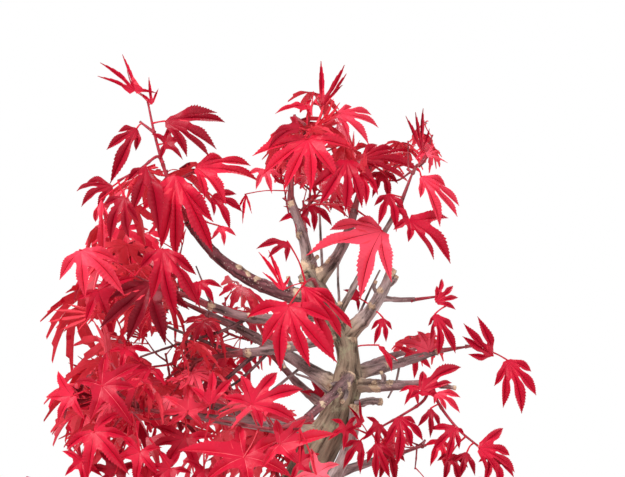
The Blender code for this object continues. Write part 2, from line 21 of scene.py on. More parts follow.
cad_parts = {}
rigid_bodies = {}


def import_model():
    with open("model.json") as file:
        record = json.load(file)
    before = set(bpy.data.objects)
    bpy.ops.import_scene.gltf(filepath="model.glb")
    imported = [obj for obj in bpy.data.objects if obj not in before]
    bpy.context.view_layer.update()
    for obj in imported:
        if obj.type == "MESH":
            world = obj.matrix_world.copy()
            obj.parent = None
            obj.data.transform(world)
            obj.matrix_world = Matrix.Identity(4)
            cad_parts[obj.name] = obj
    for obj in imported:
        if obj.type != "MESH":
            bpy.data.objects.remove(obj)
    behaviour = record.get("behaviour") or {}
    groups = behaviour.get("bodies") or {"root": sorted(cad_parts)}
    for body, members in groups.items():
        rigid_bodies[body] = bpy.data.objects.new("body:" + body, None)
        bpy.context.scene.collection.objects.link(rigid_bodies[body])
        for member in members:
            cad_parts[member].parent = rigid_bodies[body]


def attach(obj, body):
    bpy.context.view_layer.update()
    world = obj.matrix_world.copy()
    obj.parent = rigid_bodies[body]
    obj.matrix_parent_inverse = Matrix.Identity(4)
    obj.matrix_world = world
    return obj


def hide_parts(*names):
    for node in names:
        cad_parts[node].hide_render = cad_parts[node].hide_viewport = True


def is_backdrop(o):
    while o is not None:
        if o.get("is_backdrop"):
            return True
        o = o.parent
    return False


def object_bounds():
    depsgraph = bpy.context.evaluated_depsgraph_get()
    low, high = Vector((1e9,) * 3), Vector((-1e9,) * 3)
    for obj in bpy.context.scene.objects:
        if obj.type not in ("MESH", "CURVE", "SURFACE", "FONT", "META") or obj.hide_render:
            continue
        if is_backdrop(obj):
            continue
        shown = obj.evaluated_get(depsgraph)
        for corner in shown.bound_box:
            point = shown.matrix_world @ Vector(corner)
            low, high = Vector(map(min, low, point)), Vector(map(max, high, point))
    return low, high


Array = np.ndarray
MM = 0.001
UP = Vector((0, 0, 1))
BODY = "root"
LOG = logging.getLogger("maple")


# ---------------------------------------------------------------- small sums on vectors


def unit(vectors: Array) -> Array:
    """Each vector over its own length, v / |v|."""
    return vectors / np.maximum(np.linalg.norm(vectors, axis=-1, keepdims=True), 1e-12)


def lengths(vectors: Array) -> Array:
    """The length of each vector."""
    return np.linalg.norm(vectors, axis=-1)


def heading(bearing: float, rise: float) -> Vector:
    """Unit vector at a bearing and a rise, both in degrees."""
    turn, lift = math.radians(bearing), math.radians(rise)
    return Vector((math.cos(turn) * math.cos(lift), math.sin(turn) * math.cos(lift), math.sin(lift)))


def between(ends: tuple, share: float) -> float:
    """The value at a share of the way from the first end to the second."""
    return ends[0] + (ends[1] - ends[0]) * share


def smoothstep(share: Array) -> Array:
    """A soft rise from 0 to 1: 3 s^2 - 2 s^3, with s held between 0 and 1."""
    held = np.clip(share, 0, 1)
    return held * held * (3 - 2 * held)


def bell(gap: Array, width: float) -> Array:
    """A bell round nothing, e^-(gap / width)^2."""
    return np.exp(-((gap / width) ** 2))


def distances(places: Array) -> Array:
    """How far along a line each of its places is, from its first."""
    return np.concatenate([[0], np.cumsum(lengths(np.diff(places, axis=0)))])


def line_at(places: Array, along: Array) -> Array:
    """The points of a line at distances from its first place."""
    steps = distances(places)
    return np.stack([np.interp(along, steps, places[:, axis]) for axis in range(3)], axis=-1)


def placed(places: list) -> Array:
    """Vectors as one array, shape (n, 3)."""
    return np.array([tuple(place) for place in places])


def closest(places: Array, place: Array) -> int:
    """The number of the place, or of the pixel, nearest to one."""
    return int(lengths(places - place).argmin())


def ring_directions(turn: Array, side: Array, front: Array) -> Array:
    """The ways out of a line all round it: side cos(turn) + front sin(turn), shape (places, sides, 3)."""
    cos, sin = np.cos(turn)[None, :, None], np.sin(turn)[None, :, None]
    return side[:, None] * cos + front[:, None] * sin


# ---------------------------------------------------------------- the view from the front


@dataclass(frozen=True)
class Picture:
    """The front view, and how its pixels and the tree's places answer to each other."""

    width: int = 625
    height: int = 477
    eye: tuple = (0.0154, -1.92, 0.6053)
    sensor: float = 36.0  # millimetres
    lens: float = 125.67  # millimetres

    @property
    def focal(self) -> float:
        """The focal length in pixels."""
        return self.width * self.lens / self.sensor

    def place(self, pixels: Array, depth: Array) -> Array:
        """The places where rays through pixels meet the planes y = depth, one depth for all or one each."""
        pixels = np.atleast_2d(np.asarray(pixels, float))
        away = np.broadcast_to(np.asarray(depth, float), len(pixels)) - self.eye[1]
        across = (pixels[:, 0] - self.width / 2) / self.focal * away + self.eye[0]
        upward = (self.height / 2 - pixels[:, 1]) / self.focal * away + self.eye[2]
        return np.stack([across, away + self.eye[1], upward], axis=1)

    def pixels(self, places: Array) -> Array:
        """The column and row at which each place shows, shape (n, 2)."""
        away = places[:, 1] - self.eye[1]
        column = self.width / 2 + self.focal * (places[:, 0] - self.eye[0]) / away
        row = self.height / 2 - self.focal * (places[:, 2] - self.eye[2]) / away
        return np.stack([column, row], axis=1)


PICTURE = Picture()


@dataclass(frozen=True)
class Oval:
    """An oval of the front view."""

    column: float
    row: float
    half_width: float
    half_height: float

    def holds(self, pixels: Array) -> Array:
        """Which pixels lie inside: ((x - column) / half_width)^2 + ((y - row) / half_height)^2 < 1."""
        reach = (pixels - (self.column, self.row)) / (self.half_width, self.half_height)
        return (reach**2).sum(1) < 1


# Where the crown is leafy, seen from the front. Elsewhere the sky shows through.
LEAFY = tuple(Oval(*sizes) for sizes in (
    (172, 200, 66, 40), (110, 236, 52, 49), (142, 290, 44, 50), (92, 330, 56, 66), (244, 208, 18, 22),
    (242, 292, 26, 18), (244, 360, 36, 17), (222, 324, 42, 15), (106, 412, 66, 58), (194, 386, 30, 24),
    (196, 440, 72, 40), (250, 404, 50, 26), (286, 448, 48, 36), (318, 112, 36, 24), (318, 158, 66, 34),
    (330, 212, 30, 20), (388, 164, 36, 24), (426, 152, 18, 32), (424, 222, 30, 32), (302, 332, 40, 36),
    (384, 326, 15, 16), (392, 362, 14, 16), (198, 350, 27, 22), (424, 350, 26, 19), (388, 452, 30, 24),
))
VIEW_FOOT = 484  # the row below which the crown is leafy all round


# ---------------------------------------------------------------- how the tree is laid out

# The trunk: height, sideways and backward offset and radius, in millimetres, from the ground to the fork.
TRUNK_STATIONS = (
    (0, 0, 0, 31),
    (43, -2, 1, 26.5),
    (99, -8, 4, 24.5),
    (163, -20, 8, 23.5),
    (235, -29, 11, 22.5),
    (315, -21, 10, 20.5),
    (390, 6, 2, 18),
    (448, 37, -3, 14.5),
    (486, 46, -2, 10),
    (522, 42, 0, 8.3),
    (576, 9, 0, 6.2),
)
ROOT_BEARINGS = (14, 66, 121, 173, 226, 270, 322)  # of the surface roots that make the flare
ROOT_REACH = 22 * MM
ROOT_WIDTH = 17  # degrees
FLARE_HEIGHT = 26 * MM
LIMB_STEP = 24  # millimetres between the stations of a bough
CLEARANCE = 0.35 * MM  # between neighbouring solids
LEAF_LENGTH = 64 * MM
YOUNG_LEAF_LENGTH = 45 * MM
STALK_LENGTH = 32 * MM
TIP_BACK = 2.6 * MM  # from a twig's end to the roots of its last leaves
NODE_STEP = 30 * MM  # between the pairs of leaves along a twig
LOWEST_LEAF = 190 * MM


@dataclass(frozen=True)
class Limb:
    """A tapering bough: it leaves the middle of its parent at a height and bends evenly to its tip."""

    name: str
    height: float  # millimetres above the ground
    bearing: tuple  # at the foot and at the tip
    rise: tuple
    length: float  # millimetres
    radius: tuple  # millimetres, at the foot and at the tip
    parent: str = "trunk"


LIMBS = (
    Limb("leader_left", 569, (180, 180), (84, 68), 72, (5.3, 3.4)),
    Limb("leader_right", 565, (2, 14), (42, 80), 77, (5.9, 3.5)),
    Limb("bough_right", 519, (352, 344), (36, 72), 75, (7.0, 4.0)),
    Limb("bough_left_high", 552, (184, 198), (2, 58), 144, (7.0, 4.0)),
    Limb("bough_left_upper", 542, (196, 188), (-18, 24), 112, (5.0, 3.4)),
    Limb("bough_left_mid", 522, (188, 184), (-18, -4), 90, (5.3, 3.7)),
    Limb("bough_right_tall", 533, (348, 338), (62, 58), 118, (2.9, 2.2)),
    Limb("bough_inner", 547, (250, 262), (8, 36), 29, (3.7, 2.6)),
    Limb("spur_right", 553, (-10, 0), (-6, 2), 32, (2.4, 1.9), "bough_right"),
    Limb("bough_right_mid", 485, (48, 34), (4, 14), 112, (5.9, 3.0)),
    Limb("bough_right_low", 477, (338, 346), (-2, 6), 80, (5.8, 3.2)),
    Limb("bough_front", 483, (276, 222), (4, -34), 109, (5.4, 3.5)),
    Limb("riser_front", 354, (-44, 20), (26, 88), 133, (6.9, 4.8)),
    Limb("bough_back_high", 545, (96, 110), (18, 48), 83, (4.8, 2.6)),
    Limb("bough_back_right", 480, (76, 50), (10, 8), 128, (5.4, 2.6)),
    Limb("bough_back_left", 470, (150, 158), (30, 22), 154, (6.7, 2.9)),
    Limb("bough_back_centre", 449, (118, 124), (14, 30), 106, (5.4, 2.7)),
    Limb("bough_left_back", 424, (162, 148), (22, 8), 128, (6.2, 2.9)),
    Limb("bough_left_front", 431, (204, 206), (12, 8), 134, (6.4, 2.9)),
    Limb("bough_low_left", 293, (178, 186), (34, 2), 134, (7.7, 3.2)),
    Limb("bough_low_right", 319, (8, 0), (26, 8), 147, (7.7, 3.2)),
    Limb("bough_low_back", 344, (88, 96), (20, 8), 138, (6.7, 2.9)),
    Limb("bough_back_low_right", 384, (50, 40), (12, 8), 125, (6.1, 2.7)),
    Limb("bough_low_front_left", 369, (238, 232), (16, -2), 125, (6.2, 2.9)),
    Limb("bough_low_front_right", 329, (300, 306), (24, 4), 134, (6.7, 2.9)),
    Limb("bough_low_back_left", 309, (136, 142), (24, 4), 144, (6.9, 2.9)),
)


@dataclass(frozen=True)
class Shoot:
    """One leading twig of a mass: its heading, its length in millimetres, and how far its rise turns."""

    bearing: float
    rise: float
    length: float
    lift: float = 12


@dataclass(frozen=True)
class Mass:
    """A mass of foliage, which grows from the tip of its limb."""

    place: str
    seed: int
    shoots: list
    leaf_size: float = 1.0
    wood: str = ""  # its limb, where that isn't named after the same place

    @property
    def name(self) -> str:
        """The solid that it stands for."""
        return "foliage_" + self.place

    @property
    def limb(self) -> str:
        """The limb that bears it."""
        return self.wood or "bough_" + self.place


def fan(bearing: float, rise: float, length: float, count: int = 4, spread: float = 46) -> list:
    """Leading twigs that open evenly to both sides of a heading, the middle one the longest."""
    shoots = [Shoot(bearing, rise, length)]
    for k in range(1, count):
        side = 1 if k % 2 else -1
        turn = side * spread * (0.7 + 0.5 * (k // 2))
        shoots.append(Shoot(bearing + turn, rise + 22 * (k % 3) - 12, length * (0.86 - 0.07 * k)))
    return shoots


MASSES = (
    Mass("left_high", 11, [
        Shoot(184, 66, 109, 14), Shoot(20, 40, 54), Shoot(188, 26, 61, -26), Shoot(226, -8, 54, -20),
        Shoot(150, 30, 48)], 0.92),
    Mass("crown_centre", 23, [
        Shoot(350, 58, 90, 22), Shoot(184, 12, 45, -8), Shoot(300, 34, 45), Shoot(120, 40, 48)],
        0.9, wood="leader_left"),
    Mass("crown_mid", 31, [
        Shoot(330, 76, 42), Shoot(350, 24, 45), Shoot(60, 40, 38), Shoot(280, 10, 32)],
        0.8, wood="leader_right"),
    Mass("crown_right", 47, [
        Shoot(350, 74, 58, 10), Shoot(300, 24, 29), Shoot(8, 30, 29), Shoot(120, 20, 29)],
        0.74, wood="bough_right_tall"),
    Mass("inner", 61, [Shoot(256, 34, 54, -50), Shoot(300, 4, 32)]),
    Mass("right_small", 73, [Shoot(352, 10, 38), Shoot(320, -34, 32)], 0.66, wood="spur_right"),
    Mass("right_mid", 83, [Shoot(352, 4, 54, -8), Shoot(60, 10, 42), Shoot(300, -10, 42)], 0.8),
    Mass("right_low", 97, [Shoot(340, -14, 74, -26), Shoot(18, 6, 48), Shoot(262, -40, 64)], 0.9),
    Mass("left_centre", 101, [
        Shoot(186, 30, 67, -20), Shoot(196, -22, 64, 10), Shoot(232, 10, 48)], wood="bough_left_upper"),
    Mass("left_mid", 107, [Shoot(190, -4, 70, -30), Shoot(232, -34, 48), Shoot(152, 6, 38)], 0.85),
    Mass("low_centre", 109, [Shoot(196, 2, 93), Shoot(262, 8, 54), Shoot(318, -6, 67)], wood="bough_front"),
    Mass("left_front", 113, fan(204, 8, 74)),
    Mass("back_top", 127, fan(96, 44, 67), wood="bough_back_high"),
    Mass("back_right", 131, fan(56, 2, 61)),
    Mass("back_left", 137, fan(158, 20, 80, count=5)),
    Mass("back_centre", 191, fan(122, 26, 74)),
    Mass("left_back", 149, fan(160, 6, 77)),
    Mass("low_left", 151, fan(186, 6, 86, count=5)),
    Mass("low_right", 157, fan(2, 4, 80, count=5)),
    Mass("low_back", 163, fan(94, 12, 83)),
    Mass("back_low_right", 167, fan(44, 6, 74)),
    Mass("low_front_left", 173, fan(232, 2, 80)),
    Mass("low_front_right", 179, fan(304, 2, 80)),
    Mass("low_back_left", 181, fan(142, 8, 83)),
)


class Skeleton:
    """The middle lines of trunk, boughs and leading twigs, by the rule that the solids grow by."""

    def __init__(self) -> None:
        """Lays out every line, from the ground to the twigs' tips."""
        self.lines = {"trunk": self.trunk_line()}
        for limb in LIMBS:
            foot = self.point_at_height(self.lines[limb.parent], limb.height * MM)
            self.lines[limb.name] = self.limb_line(limb, foot)
        self.twigs = {mass.name: self.twigs_of(mass) for mass in MASSES}

    @staticmethod
    def trunk_line() -> list:
        """(place, radius) down the trunk's middle, smoothed between its stations."""
        rows = [(Vector((x, y, z)) * MM, radius * MM) for z, x, y, radius in TRUNK_STATIONS]
        line = []
        for k in range(len(rows) - 1):
            before = rows[max(k - 1, 0)]
            after = rows[min(k + 2, len(rows) - 1)]
            (start, wide), (end, narrow) = rows[k], rows[k + 1]
            line.append(rows[k])
            # Halfway on the Catmull-Rom curve: (9 (b + c) - (a + d)) / 16.
            middle = (start + end) * 0.5625 - (before[0] + after[0]) * 0.0625
            line.append((middle, (wide + narrow) / 2))
        return line + [rows[-1]]

    @staticmethod
    def walk(start: Vector, length: float, ways: list) -> list:
        """Places evenly along a length in millimetres, each step in its own way."""
        place = start.copy()
        line = [place.copy()]
        for way in ways:
            place += way * (length * MM / len(ways))
            line.append(place.copy())
        return line

    def limb_line(self, limb: Limb, start: Vector) -> list:
        """(place, radius) from a limb's foot to its tip, bending evenly, about LIMB_STEP apart."""
        steps = max(3, round(limb.length / LIMB_STEP))
        shares = [(k + 0.5) / steps for k in range(steps)]
        ways = [heading(between(limb.bearing, share), between(limb.rise, share)) for share in shares]
        places = self.walk(start, limb.length, ways)
        return [(place, between(limb.radius, k / steps) * MM) for k, place in enumerate(places)]

    @staticmethod
    def point_at_height(line: list, height: float) -> Vector:
        """The point of a rising line at a height."""
        for (low, _), (high, _) in zip(line, line[1:]):
            if low.z <= height <= high.z:
                return low.lerp(high, (height - low.z) / (high.z - low.z))
        raise ValueError("the limb doesn't reach that height")

    def shoot_line(self, shoot: Shoot, start: Vector, first: Vector | None = None) -> list:
        """A leading twig's nodes from foot to tip; first is the way of what it grows on from, if it does."""
        steps = max(2, round(shoot.length * MM / NODE_STEP))
        ways = [heading(shoot.bearing, shoot.rise + shoot.lift * (k + 0.5) / steps) for k in range(steps)]
        if first is not None:
            ways[0] = (ways[0] + first).normalized()
        return self.walk(start, shoot.length, ways)

    def stations(self, name: str, first: int = 0) -> tuple[Array, Array]:
        """The places and the radii of the trunk's or a limb's middle line, from its first-th station on."""
        places, radii = zip(*self.lines[name][first:])
        return placed(places), np.array(radii)

    def nearest(self, limb: str, pixel: tuple) -> Array:
        """The place on a limb's middle line that shows nearest to a pixel of the front view."""
        middle = smooth_line(*self.stations(limb), 2 * MM)[0]
        return middle[closest(PICTURE.pixels(middle), pixel)]

    def route(self, limb: str, pixels: tuple, back: float) -> Array:
        """A line that shows at pixels: from its limb's middle line evenly back by so many millimetres."""
        foot = self.nearest(limb, pixels[0])
        places = PICTURE.place(np.array(pixels), foot[1] + np.linspace(0, 1, len(pixels)) * back * MM)
        places[0] = foot
        return places

    def twigs_of(self, mass: Mass) -> list:
        """A mass's twigs from foot to tip: its stem first, then those that branch from the stem."""
        (inner, _), (tip, _) = self.lines[mass.limb][-2:]
        ahead = (tip - inner).normalized()
        stem = self.shoot_line(mass.shoots[0], tip + ahead * CLEARANCE, ahead)
        twigs = [stem]
        for k, shoot in enumerate(mass.shoots[1:]):
            node = 1 + round(k * (len(stem) - 2) / len(mass.shoots))
            start = stem[node] - heading(shoot.bearing, shoot.rise) * (0.2 + 0.1 * k) * MM
            twigs.append(self.shoot_line(shoot, start))
        return twigs


# ---------------------------------------------------------------- surfaces as whole arrays


SHARP_EDGE = math.radians(55)  # between two faces, from which the shading breaks


def new_object(name: str, data: ID) -> Object:
    """An object in the scene."""
    thing = bpy.data.objects.new(name, data)
    bpy.context.scene.collection.objects.link(thing)
    return thing


class Surface:
    """Faces of one piece, gathered as whole arrays and made a mesh at the end."""

    def __init__(self) -> None:
        """Starts with no faces."""
        self.points: list[Array] = []
        self.faces: list[Array] = []
        self.dress: list[Array] = []
        self.marks: dict[str, list[Array]] = {}
        self.count = 0

    def add(self, points: Array, *patches: tuple[Array, int], **marks: Array) -> None:
        """Takes in points, patches of faces between them and marks that the points bear.

        Args:
            points: Places, shape (n, 3).
            *patches: Indices into points, shape (f, 3) or (f, 4), each with the material they wear.
            **marks: One number or vector a point, by the attribute's name.
        """
        self.points.append(points)
        for faces, dress in patches:
            self.faces.append(faces + self.count)
            self.dress.append(np.full(len(faces), dress))
        for name, values in marks.items():
            self.marks.setdefault(name, []).append(values)
        self.count += len(points)

    def build(self, name: str, materials: list, merge: float = 0.0) -> Object:
        """Makes the piece, with its object at the origin.

        Args:
            name: The piece's name.
            materials: In the order that dress counts them.
            merge: How near points are joined, in metres, or 0 to leave them.

        Returns:
            The object, linked into the scene.
        """
        mesh = bpy.data.meshes.new(name)
        points = np.concatenate(self.points)
        sizes = np.concatenate([np.full(len(patch), patch.shape[1]) for patch in self.faces])
        corners = np.concatenate([patch.ravel() for patch in self.faces])
        mesh.vertices.add(len(points))
        mesh.vertices.foreach_set("co", points.astype(np.float32).ravel())
        mesh.loops.add(len(corners))
        mesh.loops.foreach_set("vertex_index", corners.astype(np.int32))
        mesh.polygons.add(len(sizes))
        starts = np.concatenate([[0], np.cumsum(sizes)[:-1]])
        mesh.polygons.foreach_set("loop_start", starts.astype(np.int32))
        mesh.polygons.foreach_set("material_index", np.concatenate(self.dress).astype(np.int32))
        mesh.update(calc_edges=True)
        for mark, patches in self.marks.items():
            values = np.concatenate(patches).astype(np.float32)
            kind = "FLOAT" if values.ndim == 1 else "FLOAT_VECTOR"
            layer = mesh.attributes.new(mark, kind, "POINT")
            layer.data.foreach_set("value" if values.ndim == 1 else "vector", values.ravel())
        if merge:
            shape = bmesh.new()
            shape.from_mesh(mesh)
            bmesh.ops.remove_doubles(shape, verts=shape.verts, dist=merge)
            shape.to_mesh(mesh)
            shape.free()
        mesh.shade_smooth()
        mesh.set_sharp_from_angle(angle=SHARP_EDGE)
        for material in materials:
            mesh.materials.append(material)
        return new_object(name, mesh)


def smooth_line(places: Array, radii: Array, step: float) -> tuple[Array, Array]:
    """A soft curve through stations, and its radius.

    Between stations b and c, with a before and d after, it is the Catmull-Rom sum
    ((2b) + (c - a) t + (2a - 5b + 4c - d) t^2 + (3b - a - 3c + d) t^3) / 2.

    Args:
        places: Stations, shape (n, 3).
        radii: One a station.
        step: The distance aimed at between the curve's points.

    Returns:
        The curve's points and radii.
    """
    rows = np.column_stack([places, radii])
    rows = np.vstack([2 * rows[0] - rows[1], rows, 2 * rows[-1] - rows[-2]])
    a, b, c, d = rows[:-3, None], rows[1:-2, None], rows[2:-1, None], rows[3:, None]
    count = max(2, math.ceil(lengths(np.diff(places, axis=0)).max() / step))
    t = (np.arange(count) / count)[None, :, None]
    curve = (2 * b + (c - a) * t + (2 * a - 5 * b + 4 * c - d) * t**2 + (3 * b - a - 3 * c + d) * t**3) / 2
    curve = np.vstack([curve.reshape(-1, 4), rows[-2]])
    return curve[:, :3], curve[:, 3]


def directions(places: Array) -> tuple[Array, Array, Array]:
    """The way along a curve at each point, and two directions square to it that never flip.

    Along is the difference of the neighbours. Side is a fixed direction, square to the plane that the
    curve bends in, less its share along the curve, and front is along x side.

    Returns:
        Along, side and front, each shape (n, 3).
    """
    along = unit(np.gradient(places, axis=0))
    fixed = np.cross(along[0], along[-1])
    if np.linalg.norm(fixed) < 0.1:
        fixed = np.eye(3)[np.abs(along[0]).argmin()]
    side = unit(fixed - (along @ fixed)[:, None] * along)
    return along, side, np.cross(along, side)


def tube_faces(rings: int, sides: int) -> tuple[Array, Array]:
    """The four-sided faces of a tube, and the two fans that join its end rings to its end points."""
    ring, step = np.meshgrid(np.arange(rings - 1), np.arange(sides), indexing="ij")
    after = (step + 1) % sides
    low, high = 1 + ring * sides, 1 + (ring + 1) * sides
    quads = np.stack([low + step, low + after, high + after, high + step], axis=-1).reshape(-1, 4)
    k = np.arange(sides)
    after = (k + 1) % sides
    last = 1 + rings * sides
    foot = np.stack([np.zeros_like(k), 1 + after, 1 + k], axis=-1)
    top = 1 + (rings - 1) * sides
    tip = np.stack([np.full_like(k, last), top + k, top + after], axis=-1)
    return quads, np.vstack([foot, tip])


class Waves:
    """A smooth bumpy pattern on a limb: a sum of sines, each with a whole number of turns round it."""

    def __init__(self, seed: int, turns: tuple, pitch: tuple, count: int = 14) -> None:
        """Draws waves, with so many bumps round the limb and a pitch along it in metres, both ranges."""
        draw = np.random.default_rng(seed)
        self.turns = draw.integers(turns[0], turns[1] + 1, count)
        self.rate = 2 * math.pi / draw.uniform(pitch[0], pitch[1], count) * draw.choice([-1, 1], count)
        self.shift = draw.uniform(0, 2 * math.pi, count)

    def at(self, turn: Array, along: Array) -> Array:
        """The height, about -1 to 1: the mean of sin(turns * turn + rate * along + shift), made larger."""
        phase = self.turns * turn[..., None] + self.rate * along[..., None] + self.shift
        return np.sin(phase).sum(-1) / math.sqrt(len(self.shift) * 2)


END_BULGE = 0.25  # how far a limb's end is domed, in radii
CALLUS_KNOBS = 0.85  # how far a callus is knobbed, of its height
CALLUS_SPREAD = 1.3  # how much wider its tan skin is than its swelling
CALLUS_FRONT = 0.6  # how far in front of the limb's middle it lies, in radii
# Knobby tan swellings where wood healed: column and row in the front view, size and height in millimetres.
CALLUSES = {
    "trunk": (
        (306, 274, 4.5, 2.6), (299, 284, 4.0, 2.2), (314, 286, 4.5, 2.0), (324, 298, 5.0, 1.2),
        (338, 322, 5.0, 1.6), (352, 338, 4.5, 1.4), (357, 384, 5.0, 1.6)),
    "leader_left": ((294, 236, 3.6, 1.3), (291, 204, 3.2, 1.2), (305, 266, 5.0, 2.0)),
    "leader_right": ((321, 256, 3.6, 1.0), (316, 268, 4.4, 1.8), (345, 240, 3.0, 0.8)),
    "bough_left_high": (
        (296, 293, 4.4, 1.8), (240, 266, 3.4, 0.3), (248, 273, 3.6, 0.3), (257, 279, 3.2, 0.3),
        (192, 222, 3.6, 1.4)),
    "bough_left_upper": ((250, 315, 3.0, 1.0), (211, 306, 3.6, 1.5)),
    "bough_left_mid": ((287, 346, 3.6, 1.5), (248, 353, 3.6, 1.6)),
    "bough_right": ((391, 273, 4.0, 1.2), (380, 290, 3.4, 1.0), (372, 306, 3.4, 1.2)),
    "bough_right_mid": ((385, 366, 3.4, 1.2), (436, 351, 3.2, 1.2)),
    "bough_right_low": ((376, 386, 5.0, 2.0), (390, 383, 3.6, 1.4), (430, 384, 3.4, 1.2)),
    "bough_front": ((352, 374, 4.5, 1.0), (346, 386, 5.0, 2.2), (338, 392, 4.0, 1.8), (322, 404, 3.4, 1.0)),
    "riser_front": ((356, 408, 5.0, 1.8), (351, 428, 4.0, 1.0)),
}


class Stick:
    """One limb's surface: a round tube on a soft middle line, with relief, calluses and a closed end."""

    def __init__(self, places: Array, radii: Array, step: float, sides: int) -> None:
        """Lays out rings a step apart, in metres, with so many sides, on stations with their radii."""
        self.sides = sides
        self.places, self.radii = smooth_line(places, radii, step)
        self.along, self.side, self.front = directions(self.places)
        self.distance = distances(self.places)
        self.turn = 2 * math.pi * np.arange(sides) / sides
        self.grid_turn = np.broadcast_to(self.turn, (len(self.places), sides))
        self.grid_distance = np.broadcast_to(self.distance[:, None], self.grid_turn.shape)
        self.reach = np.broadcast_to(self.radii[:, None], self.grid_turn.shape).copy()
        self.callus = np.zeros_like(self.reach)
        self.foot_bulge = END_BULGE
        self.foot: Array | float = 0.0  # how much of its parent's bark each ring wears

    def rings(self) -> Array:
        """Every ring's points: middle + outward * reach, shape (rings, sides, 3)."""
        outward = ring_directions(self.turn, self.side, self.front)
        return self.places[:, None] + outward * self.reach[..., None]

    def swell(self, share: Array) -> None:
        """Widens the surface by shares of its own reach."""
        self.reach = self.reach * (1 + share)

    def bumps(self, waves: Waves) -> Array:
        """A pattern of waves all over the surface."""
        return waves.at(self.grid_turn, self.grid_distance)

    def roughen(self, height: Array | float, waves: Waves) -> None:
        """Raises the surface by a height times a pattern of waves."""
        self.reach = self.reach + height * self.bumps(waves)

    def raise_callus(self, centre: Array, size: float, height: float) -> None:
        """Swells the surface round a centre by height e^-(d/size)^2, in knobs, and marks it as callus."""
        gap = lengths(self.rings() - centre)
        knobs = Waves(int(1e6 * size) + self.sides, (4, 9), (3 * MM, 6 * MM), 12)
        self.reach = self.reach + height * bell(gap, size) * (1 + CALLUS_KNOBS * self.bumps(knobs))
        self.callus = np.maximum(self.callus, bell(gap, CALLUS_SPREAD * size))

    def put_into(self, surface: Surface, young: Array | float) -> None:
        """Adds the closed tube to a surface; young is 0 for old bark to 1 for new, for all or one a ring."""
        rings = self.rings()
        first = self.places[0] - self.along[0] * self.radii[0] * self.foot_bulge
        last = self.places[-1] + self.along[-1] * self.radii[-1] * END_BULGE
        points = np.vstack([first, rings.reshape(-1, 3), last])
        points[:, 2] = np.maximum(points[:, 2], 0)
        quads, fans = tube_faces(len(rings), self.sides)
        flat = np.stack([
            np.cos(self.grid_turn) * self.reach,
            np.sin(self.grid_turn) * self.reach,
            self.grid_distance], axis=-1).reshape(-1, 3)
        stick = np.vstack([flat[0] * (0, 0, 1), flat, flat[-1] * (0, 0, 1)])
        callus = np.concatenate([[0], self.callus.ravel(), [self.callus[-1].mean()]])
        marks = {}
        for name, values in (("young", young), ("foot", self.foot)):
            spread = np.repeat(np.broadcast_to(values, len(rings)), self.sides)
            marks[name] = np.concatenate([spread[:1], spread, spread[-1:]])
        surface.add(points, (quads, 0), (fans, 0), stick=stick, callus=callus, **marks)


# ---------------------------------------------------------------- trunk and boughs


@dataclass
class Trunk:
    """The trunk: root flare, soft muscles, fine ridges, branch collars and healed knobs."""

    ring_step: float = 1.8 * MM
    sides: int = 104
    muscle: float = 1.0 * MM  # how far the long swellings stand out
    ridge: float = 0.26 * MM  # how far the fine ridges stand out
    collar: float = 0.34  # how far a collar stands out, in radii of its bough
    young_from: float = 500 * MM  # the height where the bark begins to turn younger
    young_over: float = 110 * MM  # the height over which it does
    youngest: float = 0.5

    def root_swell(self, bearing: Array, height: Array) -> Array:
        """How far the surface roots push the trunk outwards.

        It is ROOT_REACH e^(-height / FLARE_HEIGHT) times the sum over the roots of e^-(gap / ROOT_WIDTH)^2,
        with the bearing and the gap in degrees.
        """
        near = np.abs((bearing[..., None] - np.array(ROOT_BEARINGS) + 180) % 360 - 180)
        return ROOT_REACH * np.exp(-height / FLARE_HEIGHT) * bell(near, ROOT_WIDTH).sum(-1)

    def build(self, skeleton: Skeleton, bark: Material) -> Object:
        """Makes the trunk on the skeleton's line and lets it stand for its solid."""
        stick = Stick(*skeleton.stations("trunk"), self.ring_step, self.sides)
        stick.along[0] = (0, 0, 1)
        stick.foot_bulge = 0.0
        stick.side = unit(np.array([1.0, 0, 0]) - stick.along[:, :1] * stick.along)
        stick.front = np.cross(stick.along, stick.side)
        heights = np.broadcast_to(stick.places[:, 2:], stick.reach.shape)
        thick = stick.radii[:, None] / stick.radii.max()
        stick.reach = stick.reach + self.root_swell(np.degrees(stick.grid_turn), heights)
        stick.roughen(self.muscle * thick, Waves(5, (1, 3), (70 * MM, 190 * MM)))
        stick.roughen(self.ridge, Waves(6, (9, 26), (24 * MM, 90 * MM), 26))
        stick.roughen(0.35 * self.ridge, Waves(7, (22, 44), (5 * MM, 16 * MM), 26))
        for limb in LIMBS:
            if limb.parent == "trunk":
                self.add_collar(stick, skeleton.lines[limb.name])
        add_calluses(stick, "trunk")
        surface = Surface()
        share = smoothstep((stick.places[:, 2] - self.young_from) / self.young_over)
        stick.put_into(surface, share * self.youngest)
        piece = surface.build("trunk_bark", [bark])
        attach(piece, BODY)
        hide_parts("trunk")
        return piece

    def add_collar(self, stick: Stick, line: list) -> None:
        """Raises the trunk round a bough's foot by collar * radius * e^-(d / (2 radius))^2."""
        (start, radius), (after, _) = line[:2]
        foot, toward = np.array(start), unit(np.array(after - start))
        centre = foot + toward * stick.radii[closest(stick.places, foot)]
        gap = lengths(stick.rings() - centre)
        stick.reach = stick.reach + self.collar * radius * bell(gap, 2 * radius)


